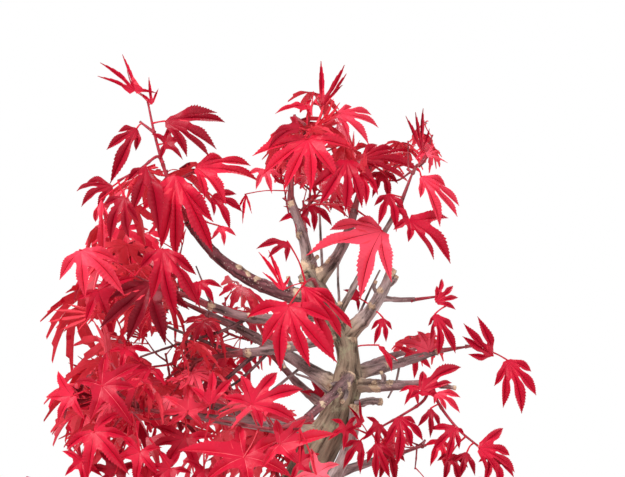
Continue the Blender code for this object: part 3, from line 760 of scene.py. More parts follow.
def add_calluses(stick: Stick, limb: str) -> None:
    """Raises every callus that lies on a limb, on the side that faces the front."""
    pixels = PICTURE.pixels(stick.places)
    for column, row, size, height in CALLUSES.get(limb, ()):
        ring = closest(pixels, (column, row))
        middle, radius = stick.places[ring], stick.radii[ring]
        reach = PICTURE.place((column, row), middle[1])[0] - middle
        reach *= min(1.0, radius / max(np.linalg.norm(reach), 1e-6))
        stick.raise_callus(middle + reach - (0, CALLUS_FRONT * radius, 0), size * MM, height * MM)


PRUNED = ("bough_right", "riser_front")
# From 0, grey old bark, to 1, dark purple young bark, at a bough's foot and tip.
WOOD_YOUTH = {
    "bough_left_high": (0.9, 1.0), "bough_left_upper": (0.4, 0.7), "bough_left_mid": (0.25, 0.6),
    "bough_front": (0.3, 0.95), "leader_left": (0.0, 0.55), "leader_right": (0.1, 0.7),
    "bough_right": (0.1, 0.15), "bough_right_tall": (0.1, 0.3), "riser_front": (0.1, 0.1),
}
OTHER_YOUTH = (0.2, 0.8)


@dataclass
class Bough:
    """One bough: a collar at its foot, swollen nodes, fine ridges and a healed or growing end."""

    limb: Limb
    ring_step: float = 1.6 * MM
    sides: int = 36
    ridge: float = 0.16 * MM
    muscle: float = 0.32 * MM
    node_step: float = 26 * MM  # between the rings where leaves once stood
    node_length: float = 2.2 * MM
    node_swell: float = 0.12  # of the radius
    bare_foot: float = 8 * MM  # without nodes, beyond its parent's surface
    collar: float = 0.38  # of the radius, at the foot
    blend_length: float = 15 * MM  # over which the trunk's bark turns into its own

    def build(self, skeleton: Skeleton, bark: Material) -> Object:
        """Makes the bough on the skeleton's line and lets it stand for its solid."""
        places, radii = skeleton.stations(self.limb.name)
        stick = Stick(places, radii, self.ring_step, self.sides)
        seed = 1000 + sum(map(ord, self.limb.name))
        parent, wide = skeleton.stations(self.limb.parent)
        parent_radius = wide[closest(parent, places[0])]
        outside = np.maximum(stick.distance - parent_radius, 0)[:, None]
        stick.swell(self.collar * np.exp(-outside / (1.3 * radii[0])))
        shift = Random(seed).uniform(0, self.node_step)
        phase = (stick.distance - shift + self.node_step / 2) % self.node_step - self.node_step / 2
        nodes = bell(phase, self.node_length)[:, None]
        stick.swell(self.node_swell * nodes * (outside > self.bare_foot))
        stick.roughen(self.ridge, Waves(seed, (5, 13), (14 * MM, 60 * MM), 22))
        stick.roughen(self.muscle, Waves(seed + 1, (1, 3), (22 * MM, 60 * MM), 10))
        add_calluses(stick, self.limb.name)
        if self.limb.name in PRUNED:
            stick.callus[-3:] = 1.0
        if self.limb.parent == "trunk":
            stick.foot = bell(outside[:, 0], self.blend_length)
        youth = WOOD_YOUTH.get(self.limb.name, OTHER_YOUTH)
        surface = Surface()
        stick.put_into(surface, between(youth, stick.distance / stick.distance[-1]))
        piece = surface.build("bark_" + self.limb.name, [bark])
        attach(piece, BODY)
        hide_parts(self.limb.name)
        return piece


@dataclass(frozen=True)
class Stray:
    """A thin leafless branch or a cut stub: the limb it leaves, and its pixels in the front view."""

    limb: str
    route: tuple  # from its foot to its tip
    radius: tuple  # millimetres, at the foot and at the tip
    back: float = 0.0  # how far its tip lies behind its foot, in millimetres
    cut: bool = False  # whether it ends in pale cut wood
    youth: float = 0.5


STRAY_RING_STEP = 1.4 * MM
STRAY_SIDES = 14
STRAY_ROUGHNESS = 0.09  # how far its knobs stand out, in radii
CUT_ROUGHNESS = 0.1  # how much further on a cut stub
CUT_LENGTH = 3 * MM  # of the pale wood at its end
STRAYS = (
    Stray("bough_left_upper", ((250, 317), (222, 331), (182, 343), (140, 357)), (1.7, 0.9), 8, youth=0.8),
    Stray("bough_left_mid", ((250, 353), (226, 349), (196, 338), (166, 326)), (2.0, 1.1), 22),
    Stray("bough_left_mid", ((258, 352), (240, 367), (222, 383), (202, 402)), (2.2, 1.4), -14, True, 0.9),
    Stray("bough_left_mid", ((270, 350), (252, 369), (234, 384), (214, 393)), (1.5, 0.9), -6, youth=0.9),
    Stray("bough_left_upper", ((216, 307), (198, 298), (180, 289)), (2.0, 1.2), 0, True, 0.9),
    Stray("bough_left_upper", ((213, 306), (206, 292), (202, 281), (196, 266)), (1.1, 0.6), -5, youth=0.6),
    Stray("leader_right", ((317, 268), (321, 244), (320, 222), (319, 203)), (1.3, 0.9), 8, youth=0.2),
    Stray("trunk", ((341, 322), (339, 300), (338, 280), (338, 262)), (1.4, 0.9), -6, youth=0.2),
    Stray("trunk", ((350, 336), (360, 312), (370, 290), (380, 270)), (1.3, 0.8), 14, youth=0.3),
    Stray("trunk", ((337, 322), (338, 310), (340, 303)), (2.6, 2.1), -14, True, 0.2),
    Stray("leader_left", ((303, 262), (312, 262), (318, 256)), (2.2, 1.7), -8, True, 0.3),
    Stray("bough_left_high", ((296, 293), (290, 284), (288, 277)), (2.4, 1.8), -8, True, 0.3),
    Stray("bough_left_mid", ((286, 347), (282, 358), (285, 368)), (1.8, 1.3), -6, True, 0.4),
    Stray("bough_front", ((344, 386), (335, 384), (329, 386)), (2.4, 1.9), -14, True, 0.2),
    Stray("bough_front", ((344, 388), (334, 393), (326, 394)), (2.6, 2.0), -16, True, 0.2),
    Stray("bough_front", ((345, 386), (346, 394), (342, 402)), (2.4, 1.9), -18, True, 0.2),
    Stray("riser_front", ((358, 404), (370, 401), (382, 402)), (3.6, 3.0), -8, True, 0.1),
    Stray("bough_right_low", ((428, 384), (443, 386), (456, 388)), (2.3, 1.9), -4, True, 0.3),
    Stray("bough_right_low", ((380, 386), (384, 378), (381, 372)), (2.2, 1.7), -8, True, 0.2),
    Stray("bough_right", ((383, 287), (392, 283), (397, 276)), (2.6, 2.2), -4, True, 0.1),
    Stray("bough_right", ((378, 296), (374, 288), (376, 281)), (1.9, 1.4), -6, True, 0.2),
    Stray("bough_right_mid", ((400, 363), (396, 382), (388, 398)), (1.2, 0.8), 4, youth=0.3),
    Stray("bough_front", ((330, 396), (312, 380), (296, 374)), (1.4, 0.9), 12, youth=0.4),
    Stray("bough_back_left", ((300, 372), (270, 392), (246, 408)), (1.4, 0.9), 10, youth=0.4),
)


def build_strays(skeleton: Skeleton, bark: Material) -> Object:
    """Joins every leafless branch and stub into one piece."""
    surface = Surface()
    for stray in STRAYS:
        route = skeleton.route(stray.limb, stray.route, stray.back)
        radii = np.interp(np.linspace(0, 1, len(route)), (0, 1), stray.radius) * MM
        stick = Stick(route, radii, STRAY_RING_STEP, STRAY_SIDES)
        knobs = Waves(7 + surface.count, (2, 5), (4 * MM, 14 * MM), 12)
        stick.swell((STRAY_ROUGHNESS + CUT_ROUGHNESS * stray.cut) * stick.bumps(knobs))
        if stray.cut:
            pale = bell(stick.distance[-1] - stick.distance, CUT_LENGTH)
            stick.callus = np.broadcast_to(pale[:, None], stick.reach.shape).copy()
        stick.put_into(surface, stray.youth)
    piece = surface.build("bark_strays", [bark])
    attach(piece, BODY)
    return piece


# ---------------------------------------------------------------- leaves


@dataclass(frozen=True)
class BladeForm:
    """How a blade is cut and folded, in shares of its length, and how finely it is drawn."""

    notch: float = 0.32  # from the stalk to the bottom of a notch
    half_width: float = 0.13  # of a lobe
    fold: float = 0.55  # radians that each half of a lobe stands up from its rib
    pleat: float = 0.15  # how high the blade stands between two ribs, in lengths of the notch
    arch: float = 0.16  # how high a lobe rises before it falls
    tooth: float = 0.13  # how much wider a tooth is than the blade behind it
    ripple: float = 0.0  # how far the blade between rib and edge rises and falls, in half widths
    teeth: int = 3  # on each side of a lobe
    inner: int = 1  # stations from the stalk to the notch
    columns: tuple = (0.0, 0.07, 1.0)  # shares of a half lobe, from its rib to its edge
    thickness: float = 0.35 * MM
    stalk: float = 0.8  # how thick its stalk is, of a full leaf's


BROAD = BladeForm()
PLAIN = BladeForm(columns=(0.0, 1.0))
FINE = BladeForm(
    notch=0.38, half_width=0.165, teeth=13, inner=2, columns=(0.0, 0.04, 0.5, 1.0), tooth=0.10, ripple=0.065,
    arch=0.26, fold=0.72, pleat=0.17, stalk=1.2)
YOUNG = BladeForm(half_width=0.092, fold=0.95, arch=0.08, teeth=5, notch=0.22, tooth=0.06)
VEINED_BEFORE = 40 * MM  # leaves further back have no ribs of their own
LOBE_SHAPE = ((0, 0.12, 0.28, 0.46, 0.64, 0.8, 0.92, 1), (0.9, 1.0, 1.02, 0.88, 0.62, 0.33, 0.12, 0.0))
LOBE_TWIST = 3.4  # radians that a lobe turns about its rib, for each length that the rib bows sideways
TOOTH_CHANGE = (0.45, 2.4)  # how much the teeth differ, of their height, and how fast that changes
TOOTH_LEAN = 0.7  # how far a tooth leans forward, of the step from one station to the next
STATION_POWER = 0.92  # of a station's share of its rib, to set the teeth a little closer at the tip
WIDTH_POWER = 0.6  # of a lobe's length, to keep short lobes wide
FOOT_SHARES = (0.1, 0.45)  # of a rib, between which the notch lies beside it
NOTCH_BLEND = 0.3  # of the free rib, over which the edge turns from the notch to its own line
BLADE_SWELL = 0.10  # how far the blade stands up between rib and edge, in half widths
END_NOTCH = 0.15  # of a lobe's length, from the stalk to the blade's corner
END_TURN = math.radians(58)  # from the last lobe to that corner, where the gap at the stalk allows it
GAP_SHARE = 0.42  # of the gap at the stalk, the most that either corner may take


class Dress(Enum):
    """Which material a part of a leaf wears, by its place in a leaf piece's list."""

    STALK = 0
    PALE_VEIN = 1
    DARK_VEIN = 2
    UNDERSIDE = 3
    TINTS = 4


def add_blade(
    surface: Surface, base: Array, tips: Array, normal: Array, form: BladeForm,
    wears: tuple, sweep: Array,
) -> None:
    """Adds one closed palmate blade to a surface.

    A rib runs from the base to each tip: base + s reach + normal arch |reach| 2 s (1 - s), swept
    sideways by sweep |reach| 2 s (1 - s). Between two ribs the edge runs along their bisector to the
    notch, then along each lobe at a half width of half_width times LOBE_SHAPE, in teeth, to the tip, and
    no further from the rib than the bisector is. The blade between rib and edge swells by 4 t (1 - t),
    and ripples from tooth to tooth. The underside is the same grid a thickness lower, and both share the
    edge.

    Args:
        surface: What takes it in.
        base: Where the stalk ends.
        tips: The lobes' tips, anticlockwise as seen from above the blade, shape (k, 3).
        normal: Out of the upper side at the base.
        form: How it is cut.
        wears: The dress of its upper side and of its ribs.
        sweep: How far each rib bows to its left, in lobe lengths.
    """
    reach = tips - base
    length = lengths(reach)
    size = length.max()
    ahead = reach / length[:, None]
    left = unit(np.cross(normal, ahead))
    # Directions of the gaps: before the first lobe, between lobes, and after the last.
    gap = math.acos(float(np.clip(ahead[0] @ ahead[-1], -1, 1)))
    end_turn = min(END_TURN, GAP_SHARE * gap)
    cos, sin = math.cos(end_turn), math.sin(end_turn)
    gap_way = np.vstack([
        ahead[:1] * cos - left[:1] * sin, unit(ahead[:-1] + ahead[1:]), ahead[-1:] * cos + left[-1:] * sin])
    mean = np.concatenate([length[:1], (length[:-1] + length[1:]) / 2, length[-1:]])
    cut = np.full(len(mean), form.notch)
    cut[[0, -1]] = END_NOTCH
    notch_reach = cut * mean
    lift = form.arch * mean * 2 * cut * (1 - cut) + form.pleat * notch_reach
    lift[[0, -1]] = 0.0
    notch = base + gap_way * notch_reach[:, None] + normal * lift[:, None]
    # Stations along each rib.
    outer = 2 * form.teeth
    into = np.stack([(notch[:-1] - base), (notch[1:] - base)])
    share = (into * ahead).sum(-1) / length
    foot = np.clip(share.mean(0), *FOOT_SHARES)[:, None]
    inner = np.arange(form.inner) / form.inner
    outward = (np.arange(outer + 1) / outer) ** STATION_POWER
    s = np.hstack([foot * inner, foot + (1 - foot) * outward])
    u = np.concatenate([np.zeros(form.inner), outward])
    hump = (2 * s * (1 - s))[..., None]
    rib = base + reach[:, None] * s[..., None]
    rib = rib + (normal * form.arch + left[:, None] * sweep[:, None, None]) * length[:, None, None] * hump
    tangent = unit(np.gradient(rib, axis=1))
    across = unit(np.cross(normal, tangent))
    above = np.cross(tangent, across)
    twist = LOBE_TWIST * sweep[:, None, None] * smoothstep(u / 0.5)[None, :, None]
    across, above = (
        across * np.cos(twist) + above * np.sin(twist), above * np.cos(twist) - across * np.sin(twist))
    # Half widths, toothed: odd outer stations are teeth, even ones lie between them.
    width = form.half_width * size * (length / size) ** WIDTH_POWER
    station = np.arange(len(u)) - form.inner
    is_tooth = (station > 0) & (station % 2 == 1)
    change, beat = TOOTH_CHANGE
    tall = form.tooth * (1 + change * np.sin(beat * station))
    tall = tall * np.sin(math.pi * np.clip(u, 0.06, 0.9)) ** 0.5
    toothed = np.where(is_tooth, 1 + tall, 1 - 0.5 * tall)
    toothed = np.where(station <= 0, 1.0, toothed)
    between_ribs = np.arccos(np.clip((ahead[:-1] * ahead[1:]).sum(-1), -1, 1)) / 2
    half_gap = np.concatenate([[end_turn], between_ribs, [end_turn]])
    wide = width[:, None] * np.interp(u, *LOBE_SHAPE) * toothed
    forward = np.where(is_tooth, TOOTH_LEAN * (1 - foot) / outer, 0.0) * length[:, None]
    blend = smoothstep(u / NOTCH_BLEND)[None, :, None]
    grids = []
    for sign in (-1, 1):
        corner = notch[:-1] if sign < 0 else notch[1:]
        turn = half_gap[:-1] if sign < 0 else half_gap[1:]
        most = s * length[:, None] * np.tan(np.minimum(turn, 1.2))[:, None] / math.cos(form.fold)
        held = wide * most / (wide**4 + most**4 + 1e-24) ** 0.25
        own = (sign * across * math.cos(form.fold) + above * math.sin(form.fold)) * held[..., None]
        own = own + tangent * forward[..., None]
        from_notch = (corner - rib[:, form.inner])[:, None] * (1 - u[None, :, None])
        edge = rib + from_notch * (1 - blend) + own * blend
        edge[:, :form.inner] = base + (corner - base)[:, None] * inner[None, :, None]
        edge[:, -1] = rib[:, -1]
        t = np.array(form.columns)[None, None, :, None]
        swell = (BLADE_SWELL + form.ripple * np.where(station % 2 == 1, 1, -1)) * (u > 0)
        bulge = above[:, :, None] * (wide * swell)[..., None, None] * 4 * t * (1 - t)
        grids.append(rib[:, :, None] * (1 - t) + edge[:, :, None] * t + bulge)
    for half, grid in enumerate(grids):
        add_grid(surface, grid, half == 1, wears if grid.shape[2] > 2 else wears[:1])
        # The underside meets the upper side along the edge, and lies a thickness lower elsewhere.
        under = grid[:, :, [0, -1]].copy()
        drop = np.full(under.shape[:3], form.thickness)
        drop[:, [0, -1]] = 0
        drop[:, form.inner:, 1] = 0
        drop[-half, :, 1] = 0
        under -= normal * drop[..., None]
        add_grid(surface, under, half == 0, (Dress.UNDERSIDE.value,))


def add_grid(surface: Surface, grid: Array, straight: bool, wears: tuple) -> None:
    """Adds every lobe's half as four-sided faces.

    Args:
        surface: What takes them in.
        grid: Places by lobe, station and column, shape (k, rows, columns, 3).
        straight: Whether rows then columns turn anticlockwise as seen from outside.
        wears: The dress of the faces and, where it differs, that of the column beside the rib.
    """
    lobes, rows, columns, _ = grid.shape
    index = np.arange(lobes * rows * columns).reshape(lobes, rows, columns)
    quads = np.stack([
        index[:, :-1, :-1], index[:, 1:, :-1], index[:, 1:, 1:], index[:, :-1, 1:]], axis=-1)
    if not straight:
        quads = quads[..., ::-1]
    parts = (quads,) if len(wears) == 1 else (quads[:, :, 1:], quads[:, :, :1])
    patches = [(faces.reshape(-1, 4), dress) for faces, dress in zip(parts, wears)]
    surface.add(grid.reshape(-1, 3), *patches)


RIB_BOW = 0.10  # of a lobe's length, the most that its rib bows sideways
STALK_BOW = 0.07  # of a stalk's length
STALK_RADII = (0.85, 0.6, 0.7, 0.3)  # millimetres, from the twig to inside the blade
STALK_SIDES = 5


@dataclass
class Leaf:
    """A leaf in place: the root of its stalk, the foot of its blade, its lobes' tips and its finish."""

    root: Array
    base: Array
    tips: Array
    normal: Array
    form: BladeForm
    tint: int  # its place in the palette
    pale: bool  # whether its ribs are pale

    def middle(self) -> tuple[Array, float]:
        """The blade's middle and its longest lobe."""
        return (self.base + self.tips.mean(0)) / 2, float(lengths(self.tips - self.base).max())

    def put_into(self, surface: Surface, draw: Random) -> None:
        """Adds the stalk and the blade to a surface, their bows drawn."""
        sweep = np.array([draw.uniform(-RIB_BOW, RIB_BOW) for _ in self.tips])
        vein = Dress.PALE_VEIN if self.pale else Dress.DARK_VEIN
        wears = (Dress.TINTS.value + self.tint, vein.value)
        add_blade(surface, self.base, self.tips, self.normal, self.form, wears, sweep)
        bow = np.array([draw.uniform(-1, 1), draw.uniform(-1, 1), draw.uniform(-0.2, 1)])
        bow = bow * np.linalg.norm(self.base - self.root) * STALK_BOW
        into = unit(self.tips.mean(0) - self.base) * 0.8 * MM
        line = np.stack([self.root, (self.root + self.base) / 2 + bow, self.base, self.base + into])
        add_stalk(surface, line, np.array(STALK_RADII) * MM * self.form.stalk)


def add_stalk(surface: Surface, line: Array, radii: Array) -> None:
    """Adds a thin closed tube through a few stations, each with its radius."""
    places, reach = smooth_line(line, radii, lengths(np.diff(line, axis=0)).max() / 3)
    _, side, front = directions(places)
    out = ring_directions(2 * math.pi * np.arange(STALK_SIDES) / STALK_SIDES, side, front)
    rings = places[:, None] + out * reach[:, None, None]
    points = np.vstack([places[:1], rings.reshape(-1, 3), places[-1:]])
    quads, fans = tube_faces(len(rings), STALK_SIDES)
    surface.add(points, (quads, Dress.STALK.value), (fans, Dress.STALK.value))


@dataclass(frozen=True)
class Shown:
    """A leaf that stands out in the front view, by the pixels of its stalk's end and its lobes' tips."""

    at: tuple
    tips: tuple  # column and row of each in turn
    face: tuple = (0.1, 0.45)  # how far its upper side looks to the right and up, of 1 to the front
    young: bool = False
    tone: int = -1  # its tint, or -1 for any
    pale: bool = False  # whether its ribs are pale
    stalk: tuple = ()  # the pixel near which its stalk leaves a twig, or none for the nearest place
    front: float = 9.0  # how far its blade begins before its twig, in millimetres
    limb: str = ""  # the limb that bears it, or none for a twig of the mass


# The leaves that stand out in front, by the mass that bears them.
SHOWN = {
    # Most of these leaves are given the deep crimson tint, which partly paints the shade that falls on this
    # upper left cluster.
    "left_high": (
        Shown((135, 91), (99, 62, 97, 76, 121, 53, 126, 69, 157, 93), young=True),
        Shown((137, 128), (111, 184, 107, 150, 118, 132, 136, 151), tone=1),
        Shown((165, 121), (216, 111, 224, 121, 216, 149, 209, 157, 187, 157), (0.3, 0.5), tone=1),
        Shown((175, 175), (141, 211, 160, 249, 175, 258, 212, 252, 213, 222), (0.0, 0.2), tone=3),
        Shown((146, 166), (128, 181, 132, 215, 160, 237), tone=1),
        Shown((125, 197), (104, 205, 110, 242, 129, 238, 139, 222), (-0.3, 0.3), tone=1),
        Shown((101.5, 199), (95, 222, 102, 258, 109, 228), (-0.2, 0.1), stalk=(150, 178)),
        Shown((113, 186), (84, 184, 75, 191, 81, 207, 99, 213), (-0.3, 0.7), stalk=(156, 168)),
        Shown((196, 167), (250, 165, 258, 181, 226, 205, 205, 199, 222, 158), (0.4, 0.7)),
        Shown((152, 104), (138, 92, 148, 76, 158, 88), young=True),
        Shown((166, 143), (151, 134, 170, 126, 187, 141, 183, 160, 160, 162), (0.2, 0.6), tone=1),
        Shown((212, 196), (214, 216, 230, 230, 242, 212, 236, 194), (0.3, 0.4), tone=2, front=2),
        Shown((220, 226), (211, 240, 224, 246, 236, 236), (0.2, 0.3), tone=5, front=0),
    ),
    "left_centre": (
        Shown((162, 249), (140, 268, 151, 300, 176, 318, 200, 308, 196, 275), (0.1, 0.1)),
        Shown((150, 284), (100, 328, 127, 343, 166, 345, 189, 310, 110, 298), (0.0, 0.35)),
        Shown((81, 250), (125, 296, 86, 298, 60, 280, 118, 262), (-0.1, 0.4)),
        Shown((98, 291), (78, 300, 86, 322, 110, 322, 121, 276, 133, 278), (0.1, 0.5)),
        Shown((126, 349), (151, 353, 140, 363, 120, 372, 108, 352), (0.2, 0.5)),
        Shown((199, 282), (222, 288, 214, 304, 196, 306, 184, 292)),
    ),
    "left_front": (
        Shown((102, 386), (75, 382, 105, 353, 140, 365, 134, 388, 134, 428, 90, 422), (0.0, 0.3), pale=True,
              ),
        Shown((94, 432), (120, 413, 128, 437, 130, 474, 88, 482, 66, 450), (-0.1, 0.4)),
        Shown((188, 411), (188, 383, 163, 396, 157, 414, 166, 426, 203, 428, 212, 404), (0.2, 0.4), tone=5,
              pale=True),
        Shown((185, 438), (153, 428, 148, 449, 163, 478, 200, 474, 219, 438), (0.0, 0.5)),
        Shown((140, 452), (120, 436, 112, 462, 136, 488, 160, 476, 162, 448), (0.0, 0.5)),
        Shown((116, 472), (94, 490, 82, 471, 98, 453, 122, 449, 141, 466, 134, 494), (0.1, 0.6), tone=1),
        Shown((170, 468), (148, 490, 143, 468, 158, 451, 180, 453, 192, 474, 174, 496), (0.1, 0.5), tone=2),
        Shown((82, 462), (61, 452, 65, 476, 86, 488, 103, 477), (0.0, 0.5), tone=3),
        Shown((146, 478), (126, 466, 148, 458, 166, 474, 152, 500, 130, 494), (0.1, 0.6), tone=4),
        Shown((72, 396), (56, 372, 44, 398, 58, 424, 86, 420), (-0.3, 0.4)),
    ),
    "low_centre": (
        Shown((244, 457), (177, 452, 206, 480, 250, 492, 292, 478, 284, 440, 238, 426), (0.0, 0.5), tone=3,
              pale=True),
        Shown((280, 444), (275, 420, 306, 420, 337, 435, 302, 467, 262, 468), (0.1, 0.5), tone=4, pale=True,
              ),
        Shown((252, 404), (222, 398, 240, 376, 277, 374, 303, 391, 296, 422, 262, 428), (0.2, 0.4)),
        Shown((316, 474), (311, 450, 340, 466, 338, 492, 306, 500, 292, 480), (0.0, 0.8), tone=7),
        Shown((210, 404), (190, 388, 212, 372, 232, 380), (0.1, 0.4)),
        Shown((300, 462), (283, 450, 300, 441, 320, 455, 314, 482, 290, 484), (0.1, 0.5), tone=2, front=3),
        Shown((204, 470), (184, 462, 188, 488, 208, 494, 220, 474), (0.0, 0.5), tone=2, front=3),
    ),
    "crown_centre": (
        Shown((322, 107), (321, 59, 345, 63, 347, 72, 343, 84), young=True),
        Shown((306, 106), (275, 114, 288, 106, 312, 100, 310, 117), (0.0, 0.7)),
        Shown((337, 113), (352, 106, 372, 114, 379, 127, 369, 145, 348, 140), (0.3, 0.5)),
        Shown((308, 139), (252, 156, 262, 176, 284, 191, 311, 193, 340, 182, 357, 150), (0.0, 0.6)),
        Shown((300, 128), (268, 150, 272, 136, 290, 116), (-0.2, 0.7)),
        Shown((265, 170), (246, 176, 256, 190, 272, 194, 281, 178), (0.0, 0.5), stalk=(290, 180)),
        Shown((246, 194), (238, 210, 243, 224, 252, 214), young=True, stalk=(288, 192)),
        Shown((300, 214), (283, 206, 279, 222, 296, 237, 311, 228), (0.0, 0.4), tone=2, front=-4),
    ),
    "crown_mid": (
        Shown((347, 160), (308, 190, 319, 206, 345, 212, 362, 208, 377, 186), (0.1, 0.4)),
        Shown((360, 160), (378, 144, 395, 149, 414, 152, 421, 172, 409, 182, 386, 176), (0.2, 0.7)),
        Shown((362, 172), (378, 195, 366, 206, 352, 196), (0.2, 0.2)),
        Shown((382, 172), (366, 181, 372, 198, 389, 203, 398, 184), (0.1, 0.4), tone=1, front=2),
        Shown((382, 231), (306, 256, 330, 230, 356, 221, 360, 299, 391, 282), (-0.1, 0.7), tone=6, front=24,
              ),
        Shown((312, 205), (300, 218, 314, 232, 332, 226), (0.1, 0.3)),
    ),
    "crown_right": (
        Shown((409, 220), (450, 218, 451, 264, 434, 260, 408, 242, 393, 230, 391, 208), (0.3, 0.5)),
        Shown((421, 176), (420, 198, 440, 227, 458, 217, 460, 206, 446, 186), (0.3, 0.4)),
        Shown((389, 194), (374, 206, 378, 226, 396, 232, 405, 212), (0.1, 0.4), tone=2, front=2),
        Shown((422, 151), (406, 115, 416, 111, 424, 107, 430, 128), young=True),
        Shown((426, 155), (435, 143, 440, 150, 448, 163), young=True),
    ),
    "inner": (
        Shown((289, 306), (247, 318, 262, 346, 281, 371, 310, 366, 337, 362, 334, 322), (-0.1, 0.4), tone=3,
              ),
        Shown((303, 286), (336, 308, 352, 329, 341, 338, 334, 362, 304, 322), (0.2, 0.4), tone=3, front=5),
        Shown((338, 386), (324, 375, 321, 393, 336, 406, 351, 397), tone=2, front=-18, limb="trunk"),
        Shown((283, 290), (262, 272, 258, 252, 268, 250, 290, 276), young=True),
        Shown((288, 242), (256, 249, 268, 258, 286, 262), (-0.1, 0.5), tone=1),
        Shown((383, 318), (374, 345, 386, 342, 392, 330, 371, 330), (0.1, 0.3), limb="bough_right"),
        Shown((378, 345), (392, 372, 398, 362, 385, 350), (0.3, 0.3), limb="trunk"),
        Shown((357, 297), (343, 290, 345, 302, 358, 312, 366, 290, 352, 284), tone=2, front=-14,
              limb="bough_right"),
        Shown((322, 398), (300, 392, 308, 372, 330, 376, 338, 400, 322, 425), tone=2, front=-8,
              limb="bough_back_centre"),
    ),
    "right_small": (
        Shown((436, 302), (437, 286, 443, 279, 454, 286, 459, 298, 456, 310), (0.3, 0.5)),
        Shown((435, 314), (428, 326, 430, 340, 438, 356, 456, 354, 454, 330), (0.2, 0.2)),
    ),
    "right_mid": (
        Shown((493, 356), (477, 316, 463, 323, 462, 336, 468, 354), (0.2, -0.2)),
        Shown((507, 360), (494, 386, 503, 408, 522, 414, 537, 396, 532, 372), (0.2, 0.3)),
        Shown((429, 351), (398, 344, 418, 332, 436, 331, 444, 344, 402, 364), (0.0, 0.6), tone=6),
        Shown((414, 354), (393, 346, 396, 366, 414, 379, 431, 369, 430, 350), (0.1, 0.3), tone=4, front=-8),
    ),
    "right_low": (
        Shown((399, 417), (384, 446, 396, 466, 411, 448, 423, 441, 416, 424), (0.1, 0.4), tone=2),
        Shown((421, 391), (409, 399, 424, 372, 463, 369, 453, 384, 440, 400), (0.1, 0.6), tone=2),
        Shown((436, 393), (434, 404, 446, 410, 460, 413, 461, 398), (0.2, 0.5), tone=5),
        Shown((431, 408), (417, 427, 430, 438, 440, 428), (0.2, 0.3), tone=1),
        Shown((455, 428), (428, 430, 431, 452, 446, 461, 459, 449, 464, 434), (0.1, 0.4), tone=2),
        Shown((467, 452), (452, 462, 458, 480, 475, 476), (0.1, 0.3), tone=1),
        Shown((479, 448), (505, 430, 511, 457, 516, 474, 500, 480, 486, 474), (0.3, 0.4), tone=3),
        Shown((361, 440), (344, 448, 343, 469, 360, 474), (0.0, 0.4)),
        Shown((376, 443), (367, 463, 376, 480, 390, 478, 394, 458), (0.0, 0.4)),
        Shown((362, 424), (360, 399, 348, 406, 341, 434), young=True),
        Shown((451, 454), (437, 461, 443, 482, 459, 486, 468, 468), (0.1, 0.4), tone=1),
        Shown((492, 456), (478, 462, 483, 484, 500, 490, 514, 478), (0.2, 0.5), tone=2, front=2),
        Shown((387, 447), (374, 458, 379, 480, 395, 484, 405, 462), (0.1, 0.4), tone=1, front=2),
        Shown((346, 427), (331, 420, 328, 440, 343, 450, 359, 441, 357, 417), (0.1, 0.5), tone=3),
        Shown((379, 424), (366, 417, 363, 440, 376, 453, 389, 443), (0.1, 0.4), tone=2, front=3),
        Shown((413, 386), (399, 392, 404, 405, 418, 406, 428, 394), (0.1, 0.4), tone=3, front=5),
        Shown((441, 440), (424, 446, 430, 466, 446, 472, 452, 452), (0.1, 0.4), tone=4, front=0),
    ),
}


# Young red twigs in front of the crown: the limb that each leaves, its pixels in the front view from its
# foot to its tip, and how many millimetres its tip lies behind its foot.
RED_SHOOTS = {
    "right_low": (
        ("bough_right_low", ((430, 384), (424, 400), (404, 414), (368, 434)), -12),
        ("bough_right_low", ((432, 384), (439, 404), (458, 429), (478, 446)), -12),
    ),
}


@dataclass(frozen=True)
class Palette:
    """The leaf tints and how often each is dealt. Besides real differences from leaf to leaf, the paler
    tints from rose red to pale rose partly paint the pinkish sheen that lit leaves show.
    """

    tints: tuple = (
        ("leaf_maroon", (0.20, 0.002, 0.012), 0.46),
        ("leaf_deep_crimson", (0.34, 0.002, 0.018), 0.44),
        ("leaf_crimson", (0.47, 0.003, 0.026), 0.44),
        ("leaf_scarlet", (0.57, 0.006, 0.034), 0.42),
        ("leaf_bright_scarlet", (0.65, 0.012, 0.044), 0.42),
        # These paler tints partly paint the pinkish sheen of lit leaves, dealt at random.
        ("leaf_rose_red", (0.71, 0.032, 0.070), 0.44),
        ("leaf_salmon", (0.74, 0.055, 0.098), 0.48),
        ("leaf_pale_rose", (0.78, 0.090, 0.135), 0.5),
    )
    deal: tuple = (6, 13, 22, 22, 15, 11, 7, 4)

    def pick(self, draw: Random) -> int:
        """A tint's place in the list, by the shares of the deal."""
        return draw.choices(range(len(self.tints)), self.deal)[0]


PALETTE = Palette()
GROWN_LOBES = ((-126, 0.34), (-88, 0.62), (-44, 0.86), (0, 1.0), (44, 0.86), (88, 0.62), (126, 0.34))
VISIBLE_WOOD = (
    "leader_left", "leader_right", "bough_right", "bough_left_high", "bough_left_upper", "bough_left_mid",
    "bough_right_tall", "bough_right_mid", "bough_right_low", "bough_front", "riser_front", "spur_right")
SHOWN_TRUNK = 8  # the first station of the trunk's line that the front view shows
RED_TWIGS = ("left_high", "right_small")  # masses on red young wood
MANY_SHOWN = 4  # leaves placed one by one, from which a mass grows fewer finer twigs


